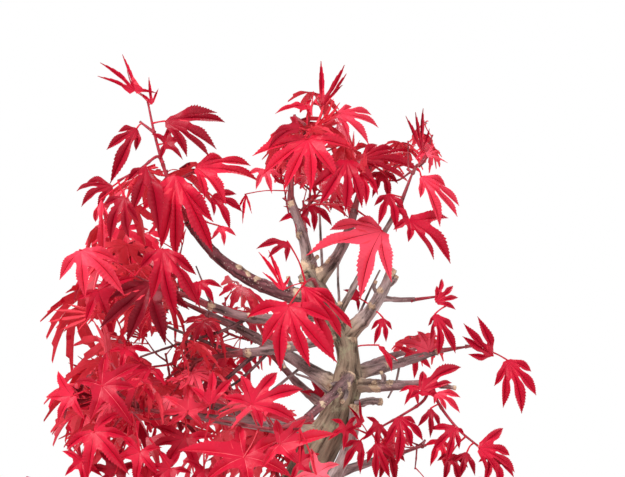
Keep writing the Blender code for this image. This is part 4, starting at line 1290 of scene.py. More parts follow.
class Room:
    """Where a new leaf may grow: clear of open sky, of wood and leaves that show, and of its neighbours."""

    PIXEL = 0.88 * MM  # of the front view, where the trunk stands
    BOX_MARGIN = 9 * MM  # how far a leaf may pass the solids' box
    WOOD_MARGIN = 3  # pixels beside the wood that shows
    WOOD_DEPTH = 4 * MM  # how far behind the wood's middle still counts as before it
    SHOWN_DEPTH = 3 * MM  # the same for a leaf that shows
    SHOWN_SHARE = 0.8  # of its reach that has to stay in view
    NEIGHBOUR_GAP = 0.46  # of a leaf's length

    def __init__(self, skeleton: Skeleton, low: Array, high: Array) -> None:
        """Notes the wood that shows, and the solids' box by its lowest and its highest corner."""
        lines = [smooth_line(*skeleton.stations(name), 6 * MM) for name in VISIBLE_WOOD]
        lines.append(smooth_line(*skeleton.stations("trunk", SHOWN_TRUNK), 6 * MM))
        wood = np.vstack([places for places, _ in lines])
        self.wood = PICTURE.pixels(wood)
        self.wood_depth = wood[:, 1]
        self.wood_reach = np.concatenate([radii for _, radii in lines]) / self.PIXEL + self.WOOD_MARGIN
        self.shown: list[tuple] = []
        self.centres: list[Array] = []
        self.sizes: list[float] = []
        self.low, self.high = low - self.BOX_MARGIN, high + self.BOX_MARGIN

    def note_shown(self, leaf: Leaf) -> None:
        """Remembers a leaf that has to stay in view."""
        outline = np.vstack([leaf.base, leaf.tips])
        pixels = PICTURE.pixels(outline)
        centre = pixels.mean(0)
        self.shown.append((centre, lengths(pixels - centre).mean(), outline[:, 1].mean()))

    def take(self, leaf: Leaf) -> None:
        """Remembers a leaf as a neighbour."""
        centre, size = leaf.middle()
        self.centres.append(centre)
        self.sizes.append(size)

    def admits(self, leaf: Leaf) -> bool:
        """Whether a grown leaf may stay."""
        middle = (leaf.base + leaf.tips) / 2
        samples = np.vstack([leaf.base, leaf.tips, middle])
        inside = (samples > self.low).all() and (samples < self.high).all()
        if not inside or samples[:, 2].min() < LOWEST_LEAF:
            return False
        pixels = PICTURE.pixels(samples)
        framed = pixels[:, 1] < VIEW_FOOT
        leafy = np.array([oval.holds(pixels) for oval in LEAFY]).any(0)
        if (framed & ~leafy).any():
            return False
        gaps = lengths(pixels[:, None] - self.wood)
        before = samples[:, 1][:, None] < self.wood_depth + self.WOOD_DEPTH
        if ((gaps < self.wood_reach) & before).any():
            return False
        for centre, reach, depth in self.shown:
            near = lengths(pixels - centre) < self.SHOWN_SHARE * reach
            if (near & (samples[:, 1] < depth + self.SHOWN_DEPTH)).any():
                return False
        return self.uncrowded(leaf)

    def uncrowded(self, leaf: Leaf) -> bool:
        """Whether the leaf's middle keeps a share of a leaf's length from every other's."""
        centre, size = leaf.middle()
        gaps = lengths(np.array(self.centres) - centre)
        return bool((gaps > self.NEIGHBOUR_GAP * (np.array(self.sizes) + size) / 2).all())


NO_TWIG = -1  # the number that stands for a limb's own wood
SHORTEST_TWIG = 4 * MM
PAST_LEAF = 2 * MM  # how far a twig goes on past the last thing it bears
TWIG_SAMPLES = 60  # places along a twig that are tried as the foot of what it bears
FORK_BEND = 8 * MM  # along which a twig turns away from the one it leaves
FORK_TURN = 0.7  # how much of its own heading it takes there, for each part of its parent's


@dataclass
class Twig:
    """A twig from foot to tip."""

    places: list
    parent: int = NO_TWIG  # the number of the twig that it branches from
    fine: bool = False
    red: bool = False
    way: tuple = ()  # the direction of its parent where it branches off
    used: float = 0.0  # how far along it bears something

    def cut(self) -> Array:
        """Its places as far as it is used."""
        line = placed(self.places)
        steps = distances(line)
        end = min(self.used, steps[-1])
        kept = line[steps < end - PAST_LEAF]
        if self.way and end > 2.4 * FORK_BEND:
            turned = unit(unit(line[1] - line[0]) * FORK_TURN + np.array(self.way))
            kept = np.insert(kept, 1, kept[0] + turned * FORK_BEND, axis=0)
        return np.vstack([kept, line_at(line, end)])


@dataclass(frozen=True)
class Habit:
    """How leaves and finer twigs stand: each range is what a draw lies between."""

    length: tuple = (0.9, 1.1)  # of a blade, in full lengths
    stalk: tuple = (0.7, 1.2)  # of a stalk, in full lengths
    outward: float = 0.9  # how far a stalk leans out of its twig,
    lean: tuple = (0.2, 0.7)  # along it
    lift: tuple = (0.0, 0.6)  # and upwards
    swing: tuple = (-35, 35)  # degrees from the stalk's bearing to the blade's
    fall: tuple = (8, 62)  # degrees that the blade hangs below the horizontal
    roll: tuple = (-28, 28)  # degrees about its middle lobe
    spread: tuple = (0.82, 1.02)  # of the full angles between its lobes
    droop: tuple = (0.12, 0.4)  # how far its tips fall, in lobe lengths
    lobe_turn: tuple = (-4, 4)  # degrees that a lobe differs
    lobe_length: tuple = (0.92, 1.06)  # of its share
    fewer: float = 0.3  # of leaves that lack the last pair of lobes
    pale: float = 0.1  # of leaves that have pale ribs
    spire_length: tuple = (0.85, 1.1)
    spire_tilt: float = 0.25  # how far a spire leans out of its twig
    spire_spread: float = 0.34
    spire_droop: float = -0.12
    cross: tuple = (75, 105)  # degrees from one pair of leaves to the next
    sprig_length: tuple = (18 * MM, 36 * MM)
    sprig_lean: tuple = (0.5, 1.0)  # along the twig that it leaves
    sprig_lift: tuple = (-0.15, 0.5)
    sprig_back: tuple = (0.1, 0.8)  # from the node, in steps of nodes
    sprig_rise: float = 0.35  # how far its second half turns upwards
    shown_turn: tuple = (0.12, 0.1)  # how far a placed leaf's face may differ to the sides and upwards
    shown_back: float = 0.22  # how far its tips lie behind its plane, in lobe lengths
    young_back: float = 0.05  # the same for a young leaf


HABIT = Habit()


@dataclass
class Foliage:
    """One mass of foliage: its twigs and finer twigs, and the leaves on them."""

    mass: Mass
    stems: list
    twig_foot: float = 2.2 * MM  # a stem's radius, from which it widens to meet its bough
    side_foot: float = 1.6 * MM  # the radius of a twig that leaves the stem
    twig_tip: float = 0.9 * MM
    sprig_radii: tuple = (0.95 * MM, 0.6 * MM)  # of a finer twig, at its foot and at its tip
    stem_sunk: float = 4 * MM  # how far the stem reaches back into its bough
    stem_foot: float = 0.96  # the stem's radius there, in radii of the bough's end
    ring_step: float = 2.4 * MM
    sides: int = 12
    sprig_sides: int = 7
    node_swell: float = 0.3  # of the radius
    sprig_share: float = 0.8  # of nodes that bear a finer twig
    shown_sprig_share: float = 0.4  # the same, where MANY_SHOWN leaves or more are placed one by one
    longest_stalk: float = 54 * MM
    stalk_left: float = 0.55  # of that, where a finer twig reaches out towards a blade
    sprig_bow: float = 0.06  # how far that twig's middle rises, of the way to the blade
    depth_weight: float = 400  # pixels for a metre further back, in the choice of a placed leaf's twig
    tries: int = 8
    smallest: float = 0.62  # of the full size, at the last try
    leaves: list = field(default_factory=list)
    twigs: list = field(default_factory=list)

    def __post_init__(self) -> None:
        """Takes the mass's stem, and the leading twigs that branch from it."""
        stem = self.stems[0]
        self.twigs = [Twig(stem)]
        for line in self.stems[1:]:
            gaps = [(place - line[0]).length for place in stem]
            node = max(1, gaps.index(min(gaps)))
            self.twigs.append(Twig(line, 0, way=tuple((stem[node] - stem[node - 1]).normalized())))

    def wood_points(self) -> tuple[Array, Array]:
        """Points along the mass's twigs, 3 mm apart, and the number of each one's twig."""
        lines = [smooth_line(placed(twig.places), np.ones(len(twig.places)), 3 * MM)[0]
                 for twig in self.twigs]
        return np.vstack(lines), np.repeat(np.arange(len(lines)), [len(line) for line in lines])

    def use(self, number: int, place: Array) -> None:
        """Notes that a twig bears something at a place, and so does each that it branches from."""
        twig = self.twigs[number]
        line = placed(twig.places)
        along = np.linspace(0, distances(line)[-1], TWIG_SAMPLES)
        twig.used = max(twig.used, along[closest(line_at(line, along), place)] + PAST_LEAF)
        if twig.parent != NO_TWIG:
            self.use(twig.parent, line[0])

    def show(self, room: Room, skeleton: Skeleton) -> None:
        """Places the leaves that stand out in the front view, each on the nearest twig or on its limb."""
        draw = Random(self.mass.seed * 7)
        for shoot in RED_SHOOTS.get(self.mass.place, ()):
            route = [Vector(place) for place in skeleton.route(*shoot)]
            self.twigs.append(Twig(route, red=True))
        wood, owners = self.wood_points()
        red = np.array([twig.red for twig in self.twigs])[owners]
        if red.any():
            wood, owners = wood[red], owners[red]
        pixels = PICTURE.pixels(wood)
        for shown in SHOWN.get(self.mass.place, ()):
            near = shown.stalk or shown.at
            further = self.depth_weight * (wood[:, 1] - wood[:, 1].min())
            nearest = (lengths(pixels - near) + further).argmin()
            root, owner = wood[nearest], int(owners[nearest])
            if shown.limb:
                root, owner = skeleton.nearest(shown.limb, near), NO_TWIG
            base = PICTURE.place(shown.at, root[1] - shown.front * MM)[0]
            if owner != NO_TWIG and np.linalg.norm(base - root) > self.longest_stalk:
                root, owner = self.reach_out(owner, root, base)
            flat = PICTURE.place(np.reshape(shown.tips, (-1, 2)), base[1])
            right, upward = (
                value + draw.uniform(-most, most) for value, most in zip(shown.face, HABIT.shown_turn))
            normal = unit(np.array([right, -1.0, upward]))
            form, back = (YOUNG, HABIT.young_back) if shown.young else (FINE, HABIT.shown_back)
            tips = flat.copy()
            tips[:, 1] += (flat - base) @ normal
            tips[:, 1] += lengths(flat - base) * back
            tips = tips[self.in_turn(np.arctan2(flat[:, 2] - base[2], flat[:, 0] - base[0]))]
            tint = shown.tone if shown.tone >= 0 else PALETTE.pick(draw)
            leaf = Leaf(root, base, tips, normal, form, tint, shown.pale)
            self.keep(leaf, owner, room)
            room.note_shown(leaf)

    def reach_out(self, owner: int, root: Array, base: Array) -> tuple[Array, int]:
        """Grows a finer twig from a root on its owner towards a blade, and gives its tip and number."""
        way = base - root
        share = 1 - self.stalk_left * self.longest_stalk / np.linalg.norm(way)
        middle = root + way * share * 0.5 + (0, 0, self.sprig_bow * np.linalg.norm(way))
        tip = root + way * share
        self.twigs.append(Twig([Vector(root), Vector(middle), Vector(tip)], owner, True))
        return tip, len(self.twigs) - 1

    def keep(self, leaf: Leaf, owner: int, room: Room) -> None:
        """Adds a leaf that a twig bears."""
        self.leaves.append(leaf)
        if owner != NO_TWIG:
            self.use(owner, leaf.root)
        room.take(leaf)

    @staticmethod
    def in_turn(angles: Array) -> Array:
        """The order of lobes anticlockwise, starting after the widest gap, where the stalk is."""
        order = np.argsort(angles)
        ranked = angles[order]
        gaps = np.diff(np.concatenate([ranked, ranked[:1] + 2 * math.pi]))
        return np.roll(order, -(int(gaps.argmax()) + 1))

    def sites_of(self, twig: list, rng: Random) -> Iterator[tuple]:
        """Where a twig bears leaves: its nodes, the way out on either side of each, and the way along."""
        turn = rng.uniform(0, math.pi)
        for k in range(len(twig) - 1, 0, -1):
            along = (twig[k] - twig[k - 1]).normalized()
            side = along.cross(UP)
            side = side.normalized() if side.length > 0.2 else Vector((1, 0, 0))
            side.rotate(Matrix.Rotation(turn, 3, along))
            node = twig[k] - along * (TIP_BACK if k == len(twig) - 1 else 0)
            yield node, side, along
            yield node, -side, along
            turn += math.radians(rng.uniform(*HABIT.cross))

    def leaf_at(self, node: Vector, outward: Vector, along: Vector, rng: Random, size: float) -> Leaf:
        """A leaf whose stalk leaves a node outwards and upwards, its blade hanging from the stalk's end."""
        length = LEAF_LENGTH * size * rng.uniform(*HABIT.length)
        stalk = outward * HABIT.outward + along * rng.uniform(*HABIT.lean) + UP * rng.uniform(*HABIT.lift)
        stalk.normalize()
        base = node + stalk * STALK_LENGTH * size * rng.uniform(*HABIT.stalk)
        level = Vector((stalk.x, stalk.y, 0))
        level = level.normalized() if level.length > 0.05 else heading(rng.uniform(0, 360), 0)
        level.rotate(Matrix.Rotation(math.radians(rng.uniform(*HABIT.swing)), 3, UP))
        fall = math.radians(rng.uniform(*HABIT.fall))
        axis = level * math.cos(fall) - UP * math.sin(fall)
        normal = level * math.sin(fall) + UP * math.cos(fall)
        normal.rotate(Matrix.Rotation(math.radians(rng.uniform(*HABIT.roll)), 3, axis))
        spread, droop = rng.uniform(*HABIT.spread), rng.uniform(*HABIT.droop)
        form = BROAD if base.y < VEINED_BEFORE else PLAIN
        return self.opened((node, base, axis, normal), length, spread, droop, form, rng)

    @staticmethod
    def opened(
        frame: tuple, length: float, spread: float, droop: float, form: BladeForm, rng: Random,
    ) -> Leaf:
        """A leaf with its lobes spread from its axis.

        Each tip lies at base + share length (axis cos(turn) + across sin(turn)) (1 - 0.3 |droop|), and
        falls share length droop below the blade's plane.

        Args:
            frame: Where the stalk leaves the twig, where the blade begins, the way along its middle lobe
                and the way out of its upper side.
            length: Of the middle lobe.
            spread: Share of the full angle between the lobes.
            droop: How far the tips fall.
            form: How it is cut.
            rng: Draws the lobes' small differences, its tint and its veins.

        Returns:
            The leaf.
        """
        root, base, axis, normal = placed(frame)
        across = np.cross(normal, axis)
        lobes = GROWN_LOBES[1:-1] if rng.random() < HABIT.fewer else GROWN_LOBES
        turn = np.radians([angle * spread + rng.uniform(*HABIT.lobe_turn) for angle, _ in lobes])[:, None]
        reach = np.array([share * length * rng.uniform(*HABIT.lobe_length) for _, share in lobes])[:, None]
        flat = (axis * np.cos(turn) + across * np.sin(turn)) * reach * (1 - 0.3 * abs(droop))
        tips = base + flat - normal * reach * droop
        return Leaf(root, base, tips, normal, form, PALETTE.pick(rng), rng.random() < HABIT.pale)

    def spire_at(self, tip: Vector, along: Vector, rng: Random, size: float) -> Leaf:
        """The upright, half-opened leaf at the very end of a twig."""
        side = along.orthogonal().normalized()
        side.rotate(Matrix.Rotation(rng.uniform(0, 2 * math.pi), 3, along))
        axis = (along + side * HABIT.spire_tilt).normalized()
        normal = (side - axis * side.dot(axis)).normalized()
        length = YOUNG_LEAF_LENGTH * size * rng.uniform(*HABIT.spire_length)
        frame = (tip, tip + along * 6 * MM, axis, normal)
        return self.opened(frame, length * 0.9, HABIT.spire_spread, HABIT.spire_droop, YOUNG, rng)

    def grow_sprigs(self) -> None:
        """Sets a finer twig of two nodes at most of the nodes of the leading twigs."""
        rng = Random(self.mass.seed * 13)
        few = len(SHOWN.get(self.mass.place, ())) < MANY_SHOWN
        share = self.sprig_share if few else self.shown_sprig_share
        for number, stem in enumerate(self.stems):
            for node, outward, along in self.sites_of(stem, rng):
                if rng.random() > share:
                    continue
                lean = rng.uniform(*HABIT.sprig_lean)
                ahead = (outward + along * lean + UP * rng.uniform(*HABIT.sprig_lift)).normalized()
                start = node - along * (rng.uniform(*HABIT.sprig_back) * NODE_STEP)
                length = rng.uniform(*HABIT.sprig_length)
                bend = (ahead + UP * HABIT.sprig_rise).normalized()
                middle = start + ahead * length * 0.5
                self.twigs.append(Twig([start, middle, middle + bend * length * 0.5], number, True))

    def grow_leaves(self, room: Room) -> None:
        """A spire at the end of each twig, then the pairs at its nodes, wherever there is room."""
        rng = Random(self.mass.seed)
        for number, twig in enumerate(self.twigs):
            places = twig.places
            full = self.mass.leaf_size * (0.8 if twig.fine else 1.0)
            along = (places[-1] - places[-2]).normalized()
            spire = self.spire_at(places[-1], along, rng, full)
            if room.admits(spire):
                self.keep(spire, number, room)
            for node, outward, way in self.sites_of(places, rng):
                for attempt in range(self.tries):
                    size = full * between((1.0, self.smallest), attempt / (self.tries - 1))
                    leaf = self.leaf_at(node, outward, way, rng, size)
                    if room.admits(leaf):
                        self.keep(leaf, number, room)
                        break

    def build_leaves(self, materials: list) -> Object:
        """Joins the mass's leaves, with materials in the order of Dress, to stand for its solid."""
        draw = Random(self.mass.seed * 3)
        surface = Surface()
        for leaf in self.leaves:
            leaf.put_into(surface, draw)
        piece = surface.build("leaves_" + self.mass.place, materials, 0.002 * MM)
        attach(piece, BODY)
        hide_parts(self.mass.name)
        return piece

    def build_twigs(self, bark: Material, foot: float) -> Object:
        """Joins the mass's twigs; foot is the radius of the bough's end that the stem grows on from."""
        surface = Surface()
        for number, twig in enumerate(self.twigs):
            if twig.used < SHORTEST_TWIG:
                continue
            line = twig.cut()
            wide, narrow = self.side_foot if number else self.twig_foot, self.twig_tip
            if twig.fine:
                wide, narrow = self.sprig_radii
            radii = np.linspace(wide, narrow, len(line))
            if number == 0:
                line[0] -= unit(line[1] - line[0]) * self.stem_sunk
                radii[0] = foot * self.stem_foot
            stick = Stick(line, radii, self.ring_step, self.sprig_sides if twig.fine else self.sides)
            share = stick.distance / stick.distance[-1]
            beat = np.abs((share * (len(line) - 1) + 0.5) % 1 - 0.5) * stick.distance[-1] / (len(line) - 1)
            stick.swell(self.node_swell * bell(beat, 1.6 * MM)[:, None])
            red = twig.red or self.mass.place in RED_TWIGS
            youth = (1.0, 1.0) if red else (0.75, 1.0) if twig.fine else (0.5, 0.9)
            stick.put_into(surface, between(youth, share))
        piece = surface.build("twigs_" + self.mass.place, [bark])
        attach(piece, BODY)
        return piece


# ---------------------------------------------------------------- finishes


class NodeTree:
    """Adds nodes to a tree and joins them, with values set by the sockets' names."""

    def __init__(self, tree: ShaderNodeTree) -> None:
        """Keeps the tree."""
        self.tree = tree

    def give(self, socket: NodeSocket, value: object) -> None:
        """Sets a socket to a value, or joins it to another socket; three numbers are a colour."""
        if isinstance(value, NodeSocket):
            self.tree.links.new(value, socket)
        else:
            socket.default_value = (*value, 1.0) if socket.type == "RGBA" else value

    def fill(self, node: Node, **values: object) -> Node:
        """Gives a node's inputs their values; an underscore in a name stands for a space."""
        for name, value in values.items():
            self.give(node.inputs[name.replace("_", " ")], value)
        return node

    def add(self, kind: str, settings: dict | None = None, **values: object) -> Node:
        """Adds a node of a kind (ShaderNode...) with its own settings and its inputs' values."""
        node = self.tree.nodes.new("ShaderNode" + kind)
        for name, value in (settings or {}).items():
            setattr(node, name, value)
        return self.fill(node, **values)

    def group(self, group: ShaderNodeTree, **values: object) -> NodeOutputs:
        """The outputs of a shared group that is given these values."""
        return self.add("Group", {"node_tree": group}, **values).outputs

    def math(self, operation: str, first: object, second: object = 0.0) -> NodeSocket:
        """The result of a Math node on two numbers or sockets."""
        node = self.add("Math", {"operation": operation})
        self.give(node.inputs[0], first)
        self.give(node.inputs[1], second)
        return node.outputs[0]

    def mix(self, share: object, first: object, second: object) -> NodeSocket:
        """A colour between two, by a share."""
        node = self.add("Mix", {"data_type": "RGBA"})
        for place, value in ((0, share), (6, first), (7, second)):
            self.give(node.inputs[place], value)
        return node.outputs[2]

    def attribute(self, name: str, output: str = "Fac") -> NodeSocket:
        """A value that the mesh carries."""
        return self.add("Attribute", {"attribute_name": name}).outputs[output]

    def noise(self, place: object, scale: object, detail: float, rough: float = 0.5) -> NodeSocket:
        """Soft noise, about 0.5 in the mean."""
        return self.add("TexNoise", Vector=place, Scale=scale, Detail=detail, Roughness=rough).outputs[0]

    def share(self, value: object, low: float, high: float) -> NodeSocket:
        """How far a value has come from low, 0, to high, 1."""
        return self.add("MapRange", Value=value, From_Min=low, From_Max=high).outputs[0]

    def held(self, value: object) -> NodeSocket:
        """A value held between 0 and 1."""
        return self.add("Clamp", Value=value).outputs[0]


def new_material(name: str, **values: object) -> tuple[Material, Node, NodeTree]:
    """Starts a material whose shader is given these values: the material, its shader and its NodeTree."""
    material = bpy.data.materials.new(name)
    material.use_nodes = True
    nodes = NodeTree(material.node_tree)
    return material, nodes.fill(material.node_tree.nodes["Principled BSDF"], **values), nodes


def new_group(name: str, inputs: tuple, outputs: tuple) -> tuple[ShaderNodeTree, NodeTree, dict, dict]:
    """Starts a node group that is given a Place and named numbers and gives named numbers.

    Returns:
        The group, its NodeTree, the sockets that come in and those that go out.
    """
    group = bpy.data.node_groups.new(name, "ShaderNodeTree")
    group.interface.new_socket("Place", in_out="INPUT", socket_type="NodeSocketVector")
    for in_out, labels in (("INPUT", inputs), ("OUTPUT", outputs)):
        for label in labels:
            group.interface.new_socket(label, in_out=in_out, socket_type="NodeSocketFloat")
    entry = group.nodes.new("NodeGroupInput")
    leave = group.nodes.new("NodeGroupOutput")
    return group, NodeTree(group), entry.outputs, leave.inputs


def bark_grain_group() -> ShaderNodeTree:
    """Streaks that run along a limb, from its own stick coordinates, and their height."""
    group, nodes, given, out = new_group("bark_grain", ("Scale", "Length"), ("Streaks", "Height"))
    squeeze = nodes.add("CombineXYZ", X=1.0, Y=1.0, Z=given["Length"])
    stretched = nodes.add("VectorMath", {"operation": "MULTIPLY"}, Vector=given["Place"])
    nodes.give(stretched.inputs[1], squeeze.outputs[0])
    streaks = nodes.noise(stretched.outputs[0], given["Scale"], 6.0, 0.62)
    fine = nodes.noise(given["Place"], nodes.math("MULTIPLY", given["Scale"], 3.1), 4.0, 0.6)
    nodes.give(out["Streaks"], streaks)
    nodes.give(out["Height"], nodes.math("ADD", streaks, nodes.math("MULTIPLY", fine, 0.35)))
    return group


def patches_group() -> ShaderNodeTree:
    """Soft-edged patches, such as lichen and healed skin: noise past a threshold set by Amount."""
    group, nodes, given, out = new_group("patches", ("Scale", "Amount"), ("Mask",))
    threshold = nodes.math("SUBTRACT", 0.78, nodes.math("MULTIPLY", given["Amount"], 0.5))
    past = nodes.math("SUBTRACT", nodes.noise(given["Place"], given["Scale"], 5.0, 0.7), threshold)
    nodes.give(out["Mask"], nodes.held(nodes.math("MULTIPLY", past, 9.0)))
    return group


def specks_group() -> ShaderNodeTree:
    """Small pale breathing pores: the middles of scattered cells, each kept or dropped by its own draw."""
    group, nodes, given, out = new_group("specks", ("Scale", "Size"), ("Mask",))
    cells = nodes.add("TexVoronoi", Vector=given["Place"], Scale=given["Scale"], Randomness=1.0)
    frayed = nodes.noise(given["Place"], nodes.math("MULTIPLY", given["Scale"], 4.0), 2.0)
    reach = nodes.math("MULTIPLY", given["Size"], nodes.math("MULTIPLY", frayed, 2.0))
    near = nodes.math("LESS_THAN", cells.outputs["Distance"], reach)
    drawn = nodes.add("SeparateColor", Color=cells.outputs["Color"])
    kept = nodes.math("GREATER_THAN", drawn.outputs[0], 0.45)
    nodes.give(out["Mask"], nodes.math("MULTIPLY", near, kept))
    return group


FOOT_DARK = (0.09, 0.058, 0.038)  # the trunk's bark, which every bough wears at its foot
FOOT_LIGHT = (0.42, 0.315, 0.225)


@dataclass(frozen=True)
class BarkFinish:
    """Bark in two ages, with streaks, lichen, pores and tan healed wood, and painted shade in the hollows of
    its grain and of the healed wood.
    """

    name: str
    dark: tuple
    light: tuple
    young_dark: tuple
    young_light: tuple
    lichen_amount: float
    lichen: tuple = (0.36, 0.35, 0.22)
    pore: tuple = (0.50, 0.42, 0.36)
    # Painted shade: the near-black colour that the bark darkens to in the low places of its grain.
    painted_hollow_shade: tuple = (0.028, 0.016, 0.014)
    tan: tuple = (0.72, 0.54, 0.37)
    # Painted shade: the healed wood's colour in the low places of its grain.
    painted_tan_shade: tuple = (0.16, 0.085, 0.05)
    grain_scale: float = 170.0
    relief: float = 0.8
    roughness: float = 0.86

    def material(self, groups: dict) -> Material:
        """Builds the material with the shared node groups, which are given by name."""
        material, shader, nodes = new_material(self.name, Roughness=self.roughness, Specular_IOR_Level=0.3)
        place, callus = nodes.attribute("stick", "Vector"), nodes.attribute("callus")
        grain = nodes.group(groups["bark_grain"], Place=place, Scale=self.grain_scale, Length=0.16)
        streaks = nodes.share(grain["Streaks"], 0.38, 0.62)
        old = nodes.mix(streaks, self.dark, self.light)
        old = nodes.mix(nodes.math("MULTIPLY", nodes.noise(place, 38.0, 3.0), 0.5), old, self.dark)
        lichen = nodes.group(groups["patches"], Place=place, Scale=75.0, Amount=self.lichen_amount)[0]
        old = nodes.mix(nodes.math("MULTIPLY", lichen, 0.75), old, self.lichen)
        new = nodes.mix(streaks, self.young_dark, self.young_light)
        pores = nodes.group(groups["specks"], Place=place, Scale=430.0, Size=0.22)[0]
        new = nodes.mix(nodes.math("MULTIPLY", pores, 0.7), new, self.pore)
        skin = nodes.mix(nodes.attribute("young"), old, new)
        skin = nodes.mix(nodes.attribute("foot"), skin, nodes.mix(streaks, FOOT_DARK, FOOT_LIGHT))
        # Painted shade: the skin darkens towards the hollows' colour where the grain's height is low.
        painted_shade_share = nodes.share(grain["Height"], 0.62, 0.48)
        skin = nodes.mix(nodes.math("MULTIPLY", painted_shade_share, 0.8), skin, self.painted_hollow_shade)
        knots = nodes.noise(place, 300.0, 5.0, 0.7)
        # The healed wood darkens where the grain is low: painted shade in its hollows.
        healed = nodes.mix(nodes.share(grain["Height"], 0.5, 0.74), self.painted_tan_shade, self.tan)
        edge = nodes.math("SUBTRACT", nodes.math("ADD", callus, nodes.math("MULTIPLY", knots, 1.7)), 1.36)
        skin = nodes.mix(nodes.held(nodes.math("MULTIPLY", edge, 5.0)), skin, healed)
        knobs = nodes.math("MULTIPLY", nodes.math("MULTIPLY", callus, knots), 2.6)
        height = nodes.math("ADD", grain["Height"], knobs)
        bump = nodes.add("Bump", Height=height, Strength=self.relief, Distance=1.1 * MM)
        nodes.fill(shader, Base_Color=skin, Normal=bump.outputs[0])
        return material


@dataclass(frozen=True)
class LeafFinish:
    """One leaf tint: a satin skin with a painted glow in its own colour, which stands in for the light that
    comes through the blade.
    """

    name: str
    colour: tuple
    roughness: float = 0.42
    sheen: float = 0.06
    sheen_tint: tuple = (1.0, 0.62, 0.62)
    glow: float = 0.07  # painted glow in the leaf's own colour, in place of light through the blade, as a share of its colour
    pucker_scale: float = 420.0
    relief: float = 0.35

    def material(self) -> Material:
        """Builds the material, with its colour on the shader's own socket and a painted glow of that colour
        as emission.
        """
        # Emission in the leaf's own colour: a painted glow for the light that passes through the blade, as
        # the leaves are no lamps.
        material, shader, nodes = new_material(
            self.name, Base_Color=self.colour, Roughness=self.roughness, Specular_IOR_Level=0.22,
            Sheen_Weight=self.sheen, Sheen_Tint=self.sheen_tint, Sheen_Roughness=0.4,
            Emission_Color=self.colour, Emission_Strength=self.glow)
        pucker = nodes.noise(nodes.add("TexCoord").outputs["Object"], self.pucker_scale, 3.0, 0.6)
        bump = nodes.add("Bump", Height=pucker, Strength=self.relief, Distance=1.0 * MM)
        nodes.fill(shader, Normal=bump.outputs[0])
        return material


class Finishes:
    """Every material of the tree."""

    def __init__(self) -> None:
        """Builds the shared node groups and then the materials."""
        groups = {
            "bark_grain": bark_grain_group(), "patches": patches_group(), "specks": specks_group()}
        self.trunk_bark = BarkFinish(
            "trunk_bark", FOOT_DARK, FOOT_LIGHT, (0.17, 0.115, 0.10), (0.52, 0.42, 0.37),
            0.46).material(groups)
        self.bough_bark = BarkFinish(
            "bough_bark", (0.20, 0.14, 0.13), (0.66, 0.55, 0.53), (0.03, 0.005, 0.009),
            (0.24, 0.065, 0.08), 0.26, grain_scale=240.0, relief=0.7).material(groups)
        self.twig_bark = BarkFinish(
            "twig_bark", (0.10, 0.045, 0.045), (0.26, 0.15, 0.14), (0.26, 0.014, 0.028),
            (0.50, 0.04, 0.07), 0.15, pore=(0.62, 0.16, 0.15), grain_scale=420.0, relief=0.2,
            roughness=0.6).material(groups)
        self.leaf = [LeafFinish(*row).material() for row in (
            ("leaf_stalk", (0.56, 0.008, 0.03), 0.4),
            ("leaf_pale_vein", (0.80, 0.12, 0.15), 0.45),
            ("leaf_dark_vein", (0.24, 0.002, 0.010), 0.45),
            ("leaf_underside", (0.70, 0.035, 0.06), 0.62, 0.2),
            *PALETTE.tints)]


# ---------------------------------------------------------------- the studio


CROWN_MIDDLE = Vector((0.0, 0.0, 0.55))


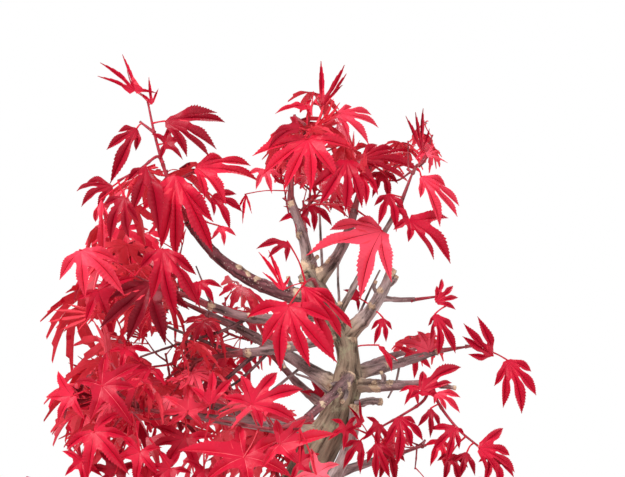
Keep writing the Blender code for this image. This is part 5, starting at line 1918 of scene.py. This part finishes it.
@dataclass
class Studio:
    """A pale floor, soft lights and the camera at the front."""

    floor_reach: float = 3.3
    floor_sides: int = 96
    floor_drop: float = 0.4 * MM  # below the trunk's foot
    fade: tuple = (0.5, 2.2)  # from the trunk, where the floor starts to turn white and where it is white
    floor_colour: tuple = (0.80, 0.80, 0.79)
    floor_glow: float = 0.8  # where it is white
    sky: float = 1.0
    fill: float = 0.60

    def build(self) -> None:
        """Sets the floor, the lights, the white surround and the camera."""
        surface = Surface()
        k = np.arange(self.floor_sides)
        turn = 2 * math.pi * k / self.floor_sides
        rim = np.stack([np.cos(turn), np.sin(turn), 0 * turn], axis=1) * self.floor_reach
        points = np.vstack([[0, 0, 0], rim]) - (0, 0, self.floor_drop)
        surface.add(points, (np.stack([0 * k, 1 + k, 1 + (k + 1) % self.floor_sides], axis=1), 0))
        finish, shader, nodes = new_material("studio_floor", Base_Color=self.floor_colour, Roughness=0.85)
        place = nodes.add("TexCoord").outputs["Object"]
        far = nodes.add("VectorMath", {"operation": "LENGTH"}, Vector=place).outputs["Value"]
        glow = nodes.add("MapRange", {"interpolation_type": "SMOOTHSTEP"}, Value=far, From_Min=self.fade[0],
                         From_Max=self.fade[1])
        white = nodes.mix(glow.outputs[0], (0.0, 0.0, 0.0), (1.0, 1.0, 1.0))
        nodes.fill(shader, Emission_Color=white, Emission_Strength=self.floor_glow)
        surface.build("studio_floor", [finish])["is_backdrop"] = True
        self.add_light("key", (-1.1, -1.2, 2.2), 0.8, 48)
        self.add_light("side", (1.7, -1.1, 1.2), 1.2, 11)
        self.add_light("rim", (0.3, 1.6, 1.9), 1.2, 16)
        self.set_surround()
        self.set_camera()

    @staticmethod
    def add_light(name: str, place: tuple, size: float, power: float) -> None:
        """A square soft light that looks at the middle of the crown."""
        lamp = bpy.data.lights.new(name, "AREA")
        lamp.size = size
        lamp.energy = power
        light = new_object(name, lamp)
        light.location = place
        toward = CROWN_MIDDLE - light.location
        light.rotation_euler = toward.to_track_quat("-Z", "Y").to_euler()

    def set_surround(self) -> None:
        """A white surround that the camera sees brighter than it lights."""
        world = bpy.data.worlds.new("surround")
        world.use_nodes = True
        bpy.context.scene.world = world
        nodes = NodeTree(world.node_tree)
        seen = nodes.add("LightPath").outputs["Is Camera Ray"]
        level = nodes.add("MapRange", Value=seen, To_Min=self.fill, To_Max=self.sky)
        background = world.node_tree.nodes["Background"]
        nodes.fill(background, Color=(1.0, 1.0, 1.0), Strength=level.outputs[0])

    @staticmethod
    def set_camera() -> None:
        """The camera of the front view, level and looking along +Y."""
        lens = bpy.data.cameras.new("front")
        lens.sensor_width = PICTURE.sensor
        lens.lens = PICTURE.lens
        camera = new_object("front", lens)
        camera.location = PICTURE.eye
        camera.rotation_euler = (math.radians(90), 0, 0)
        bpy.context.scene.camera = camera
        bpy.context.scene.view_settings.view_transform = "Standard"


def main() -> None:
    """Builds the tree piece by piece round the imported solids."""
    logging.basicConfig(level=logging.INFO, format="%(message)s")
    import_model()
    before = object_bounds()
    low, high = (np.array([float(value) for value in corner]) for corner in before)
    Studio().build()
    finishes = Finishes()
    skeleton = Skeleton()
    pieces = [Trunk().build(skeleton, finishes.trunk_bark)]
    for limb in LIMBS:
        pieces.append(Bough(limb).build(skeleton, finishes.bough_bark))
    pieces.append(build_strays(skeleton, finishes.bough_bark))
    room = Room(skeleton, low, high)
    masses = [Foliage(mass, skeleton.twigs[mass.name]) for mass in MASSES]
    for foliage in masses:
        foliage.show(room, skeleton)
    for foliage in masses:
        foliage.grow_sprigs()
        foliage.grow_leaves(room)
        foot = skeleton.lines[foliage.mass.limb][-1][1]
        pieces.append(foliage.build_twigs(finishes.twig_bark, foot))
        pieces.append(foliage.build_leaves(finishes.leaf))
        LOG.info("%s: %d leaves", foliage.mass.name, len(foliage.leaves))
    total = 0
    for piece in pieces:
        count = sum(len(polygon.vertices) - 2 for polygon in piece.data.polygons)
        total += count
        LOG.info("%s: %d triangles", piece.name, count)
    LOG.info("%d triangles in all", total)
    LOG.info("%d leaves", sum(len(foliage.leaves) for foliage in masses))


if __name__ == "__main__":
    main()
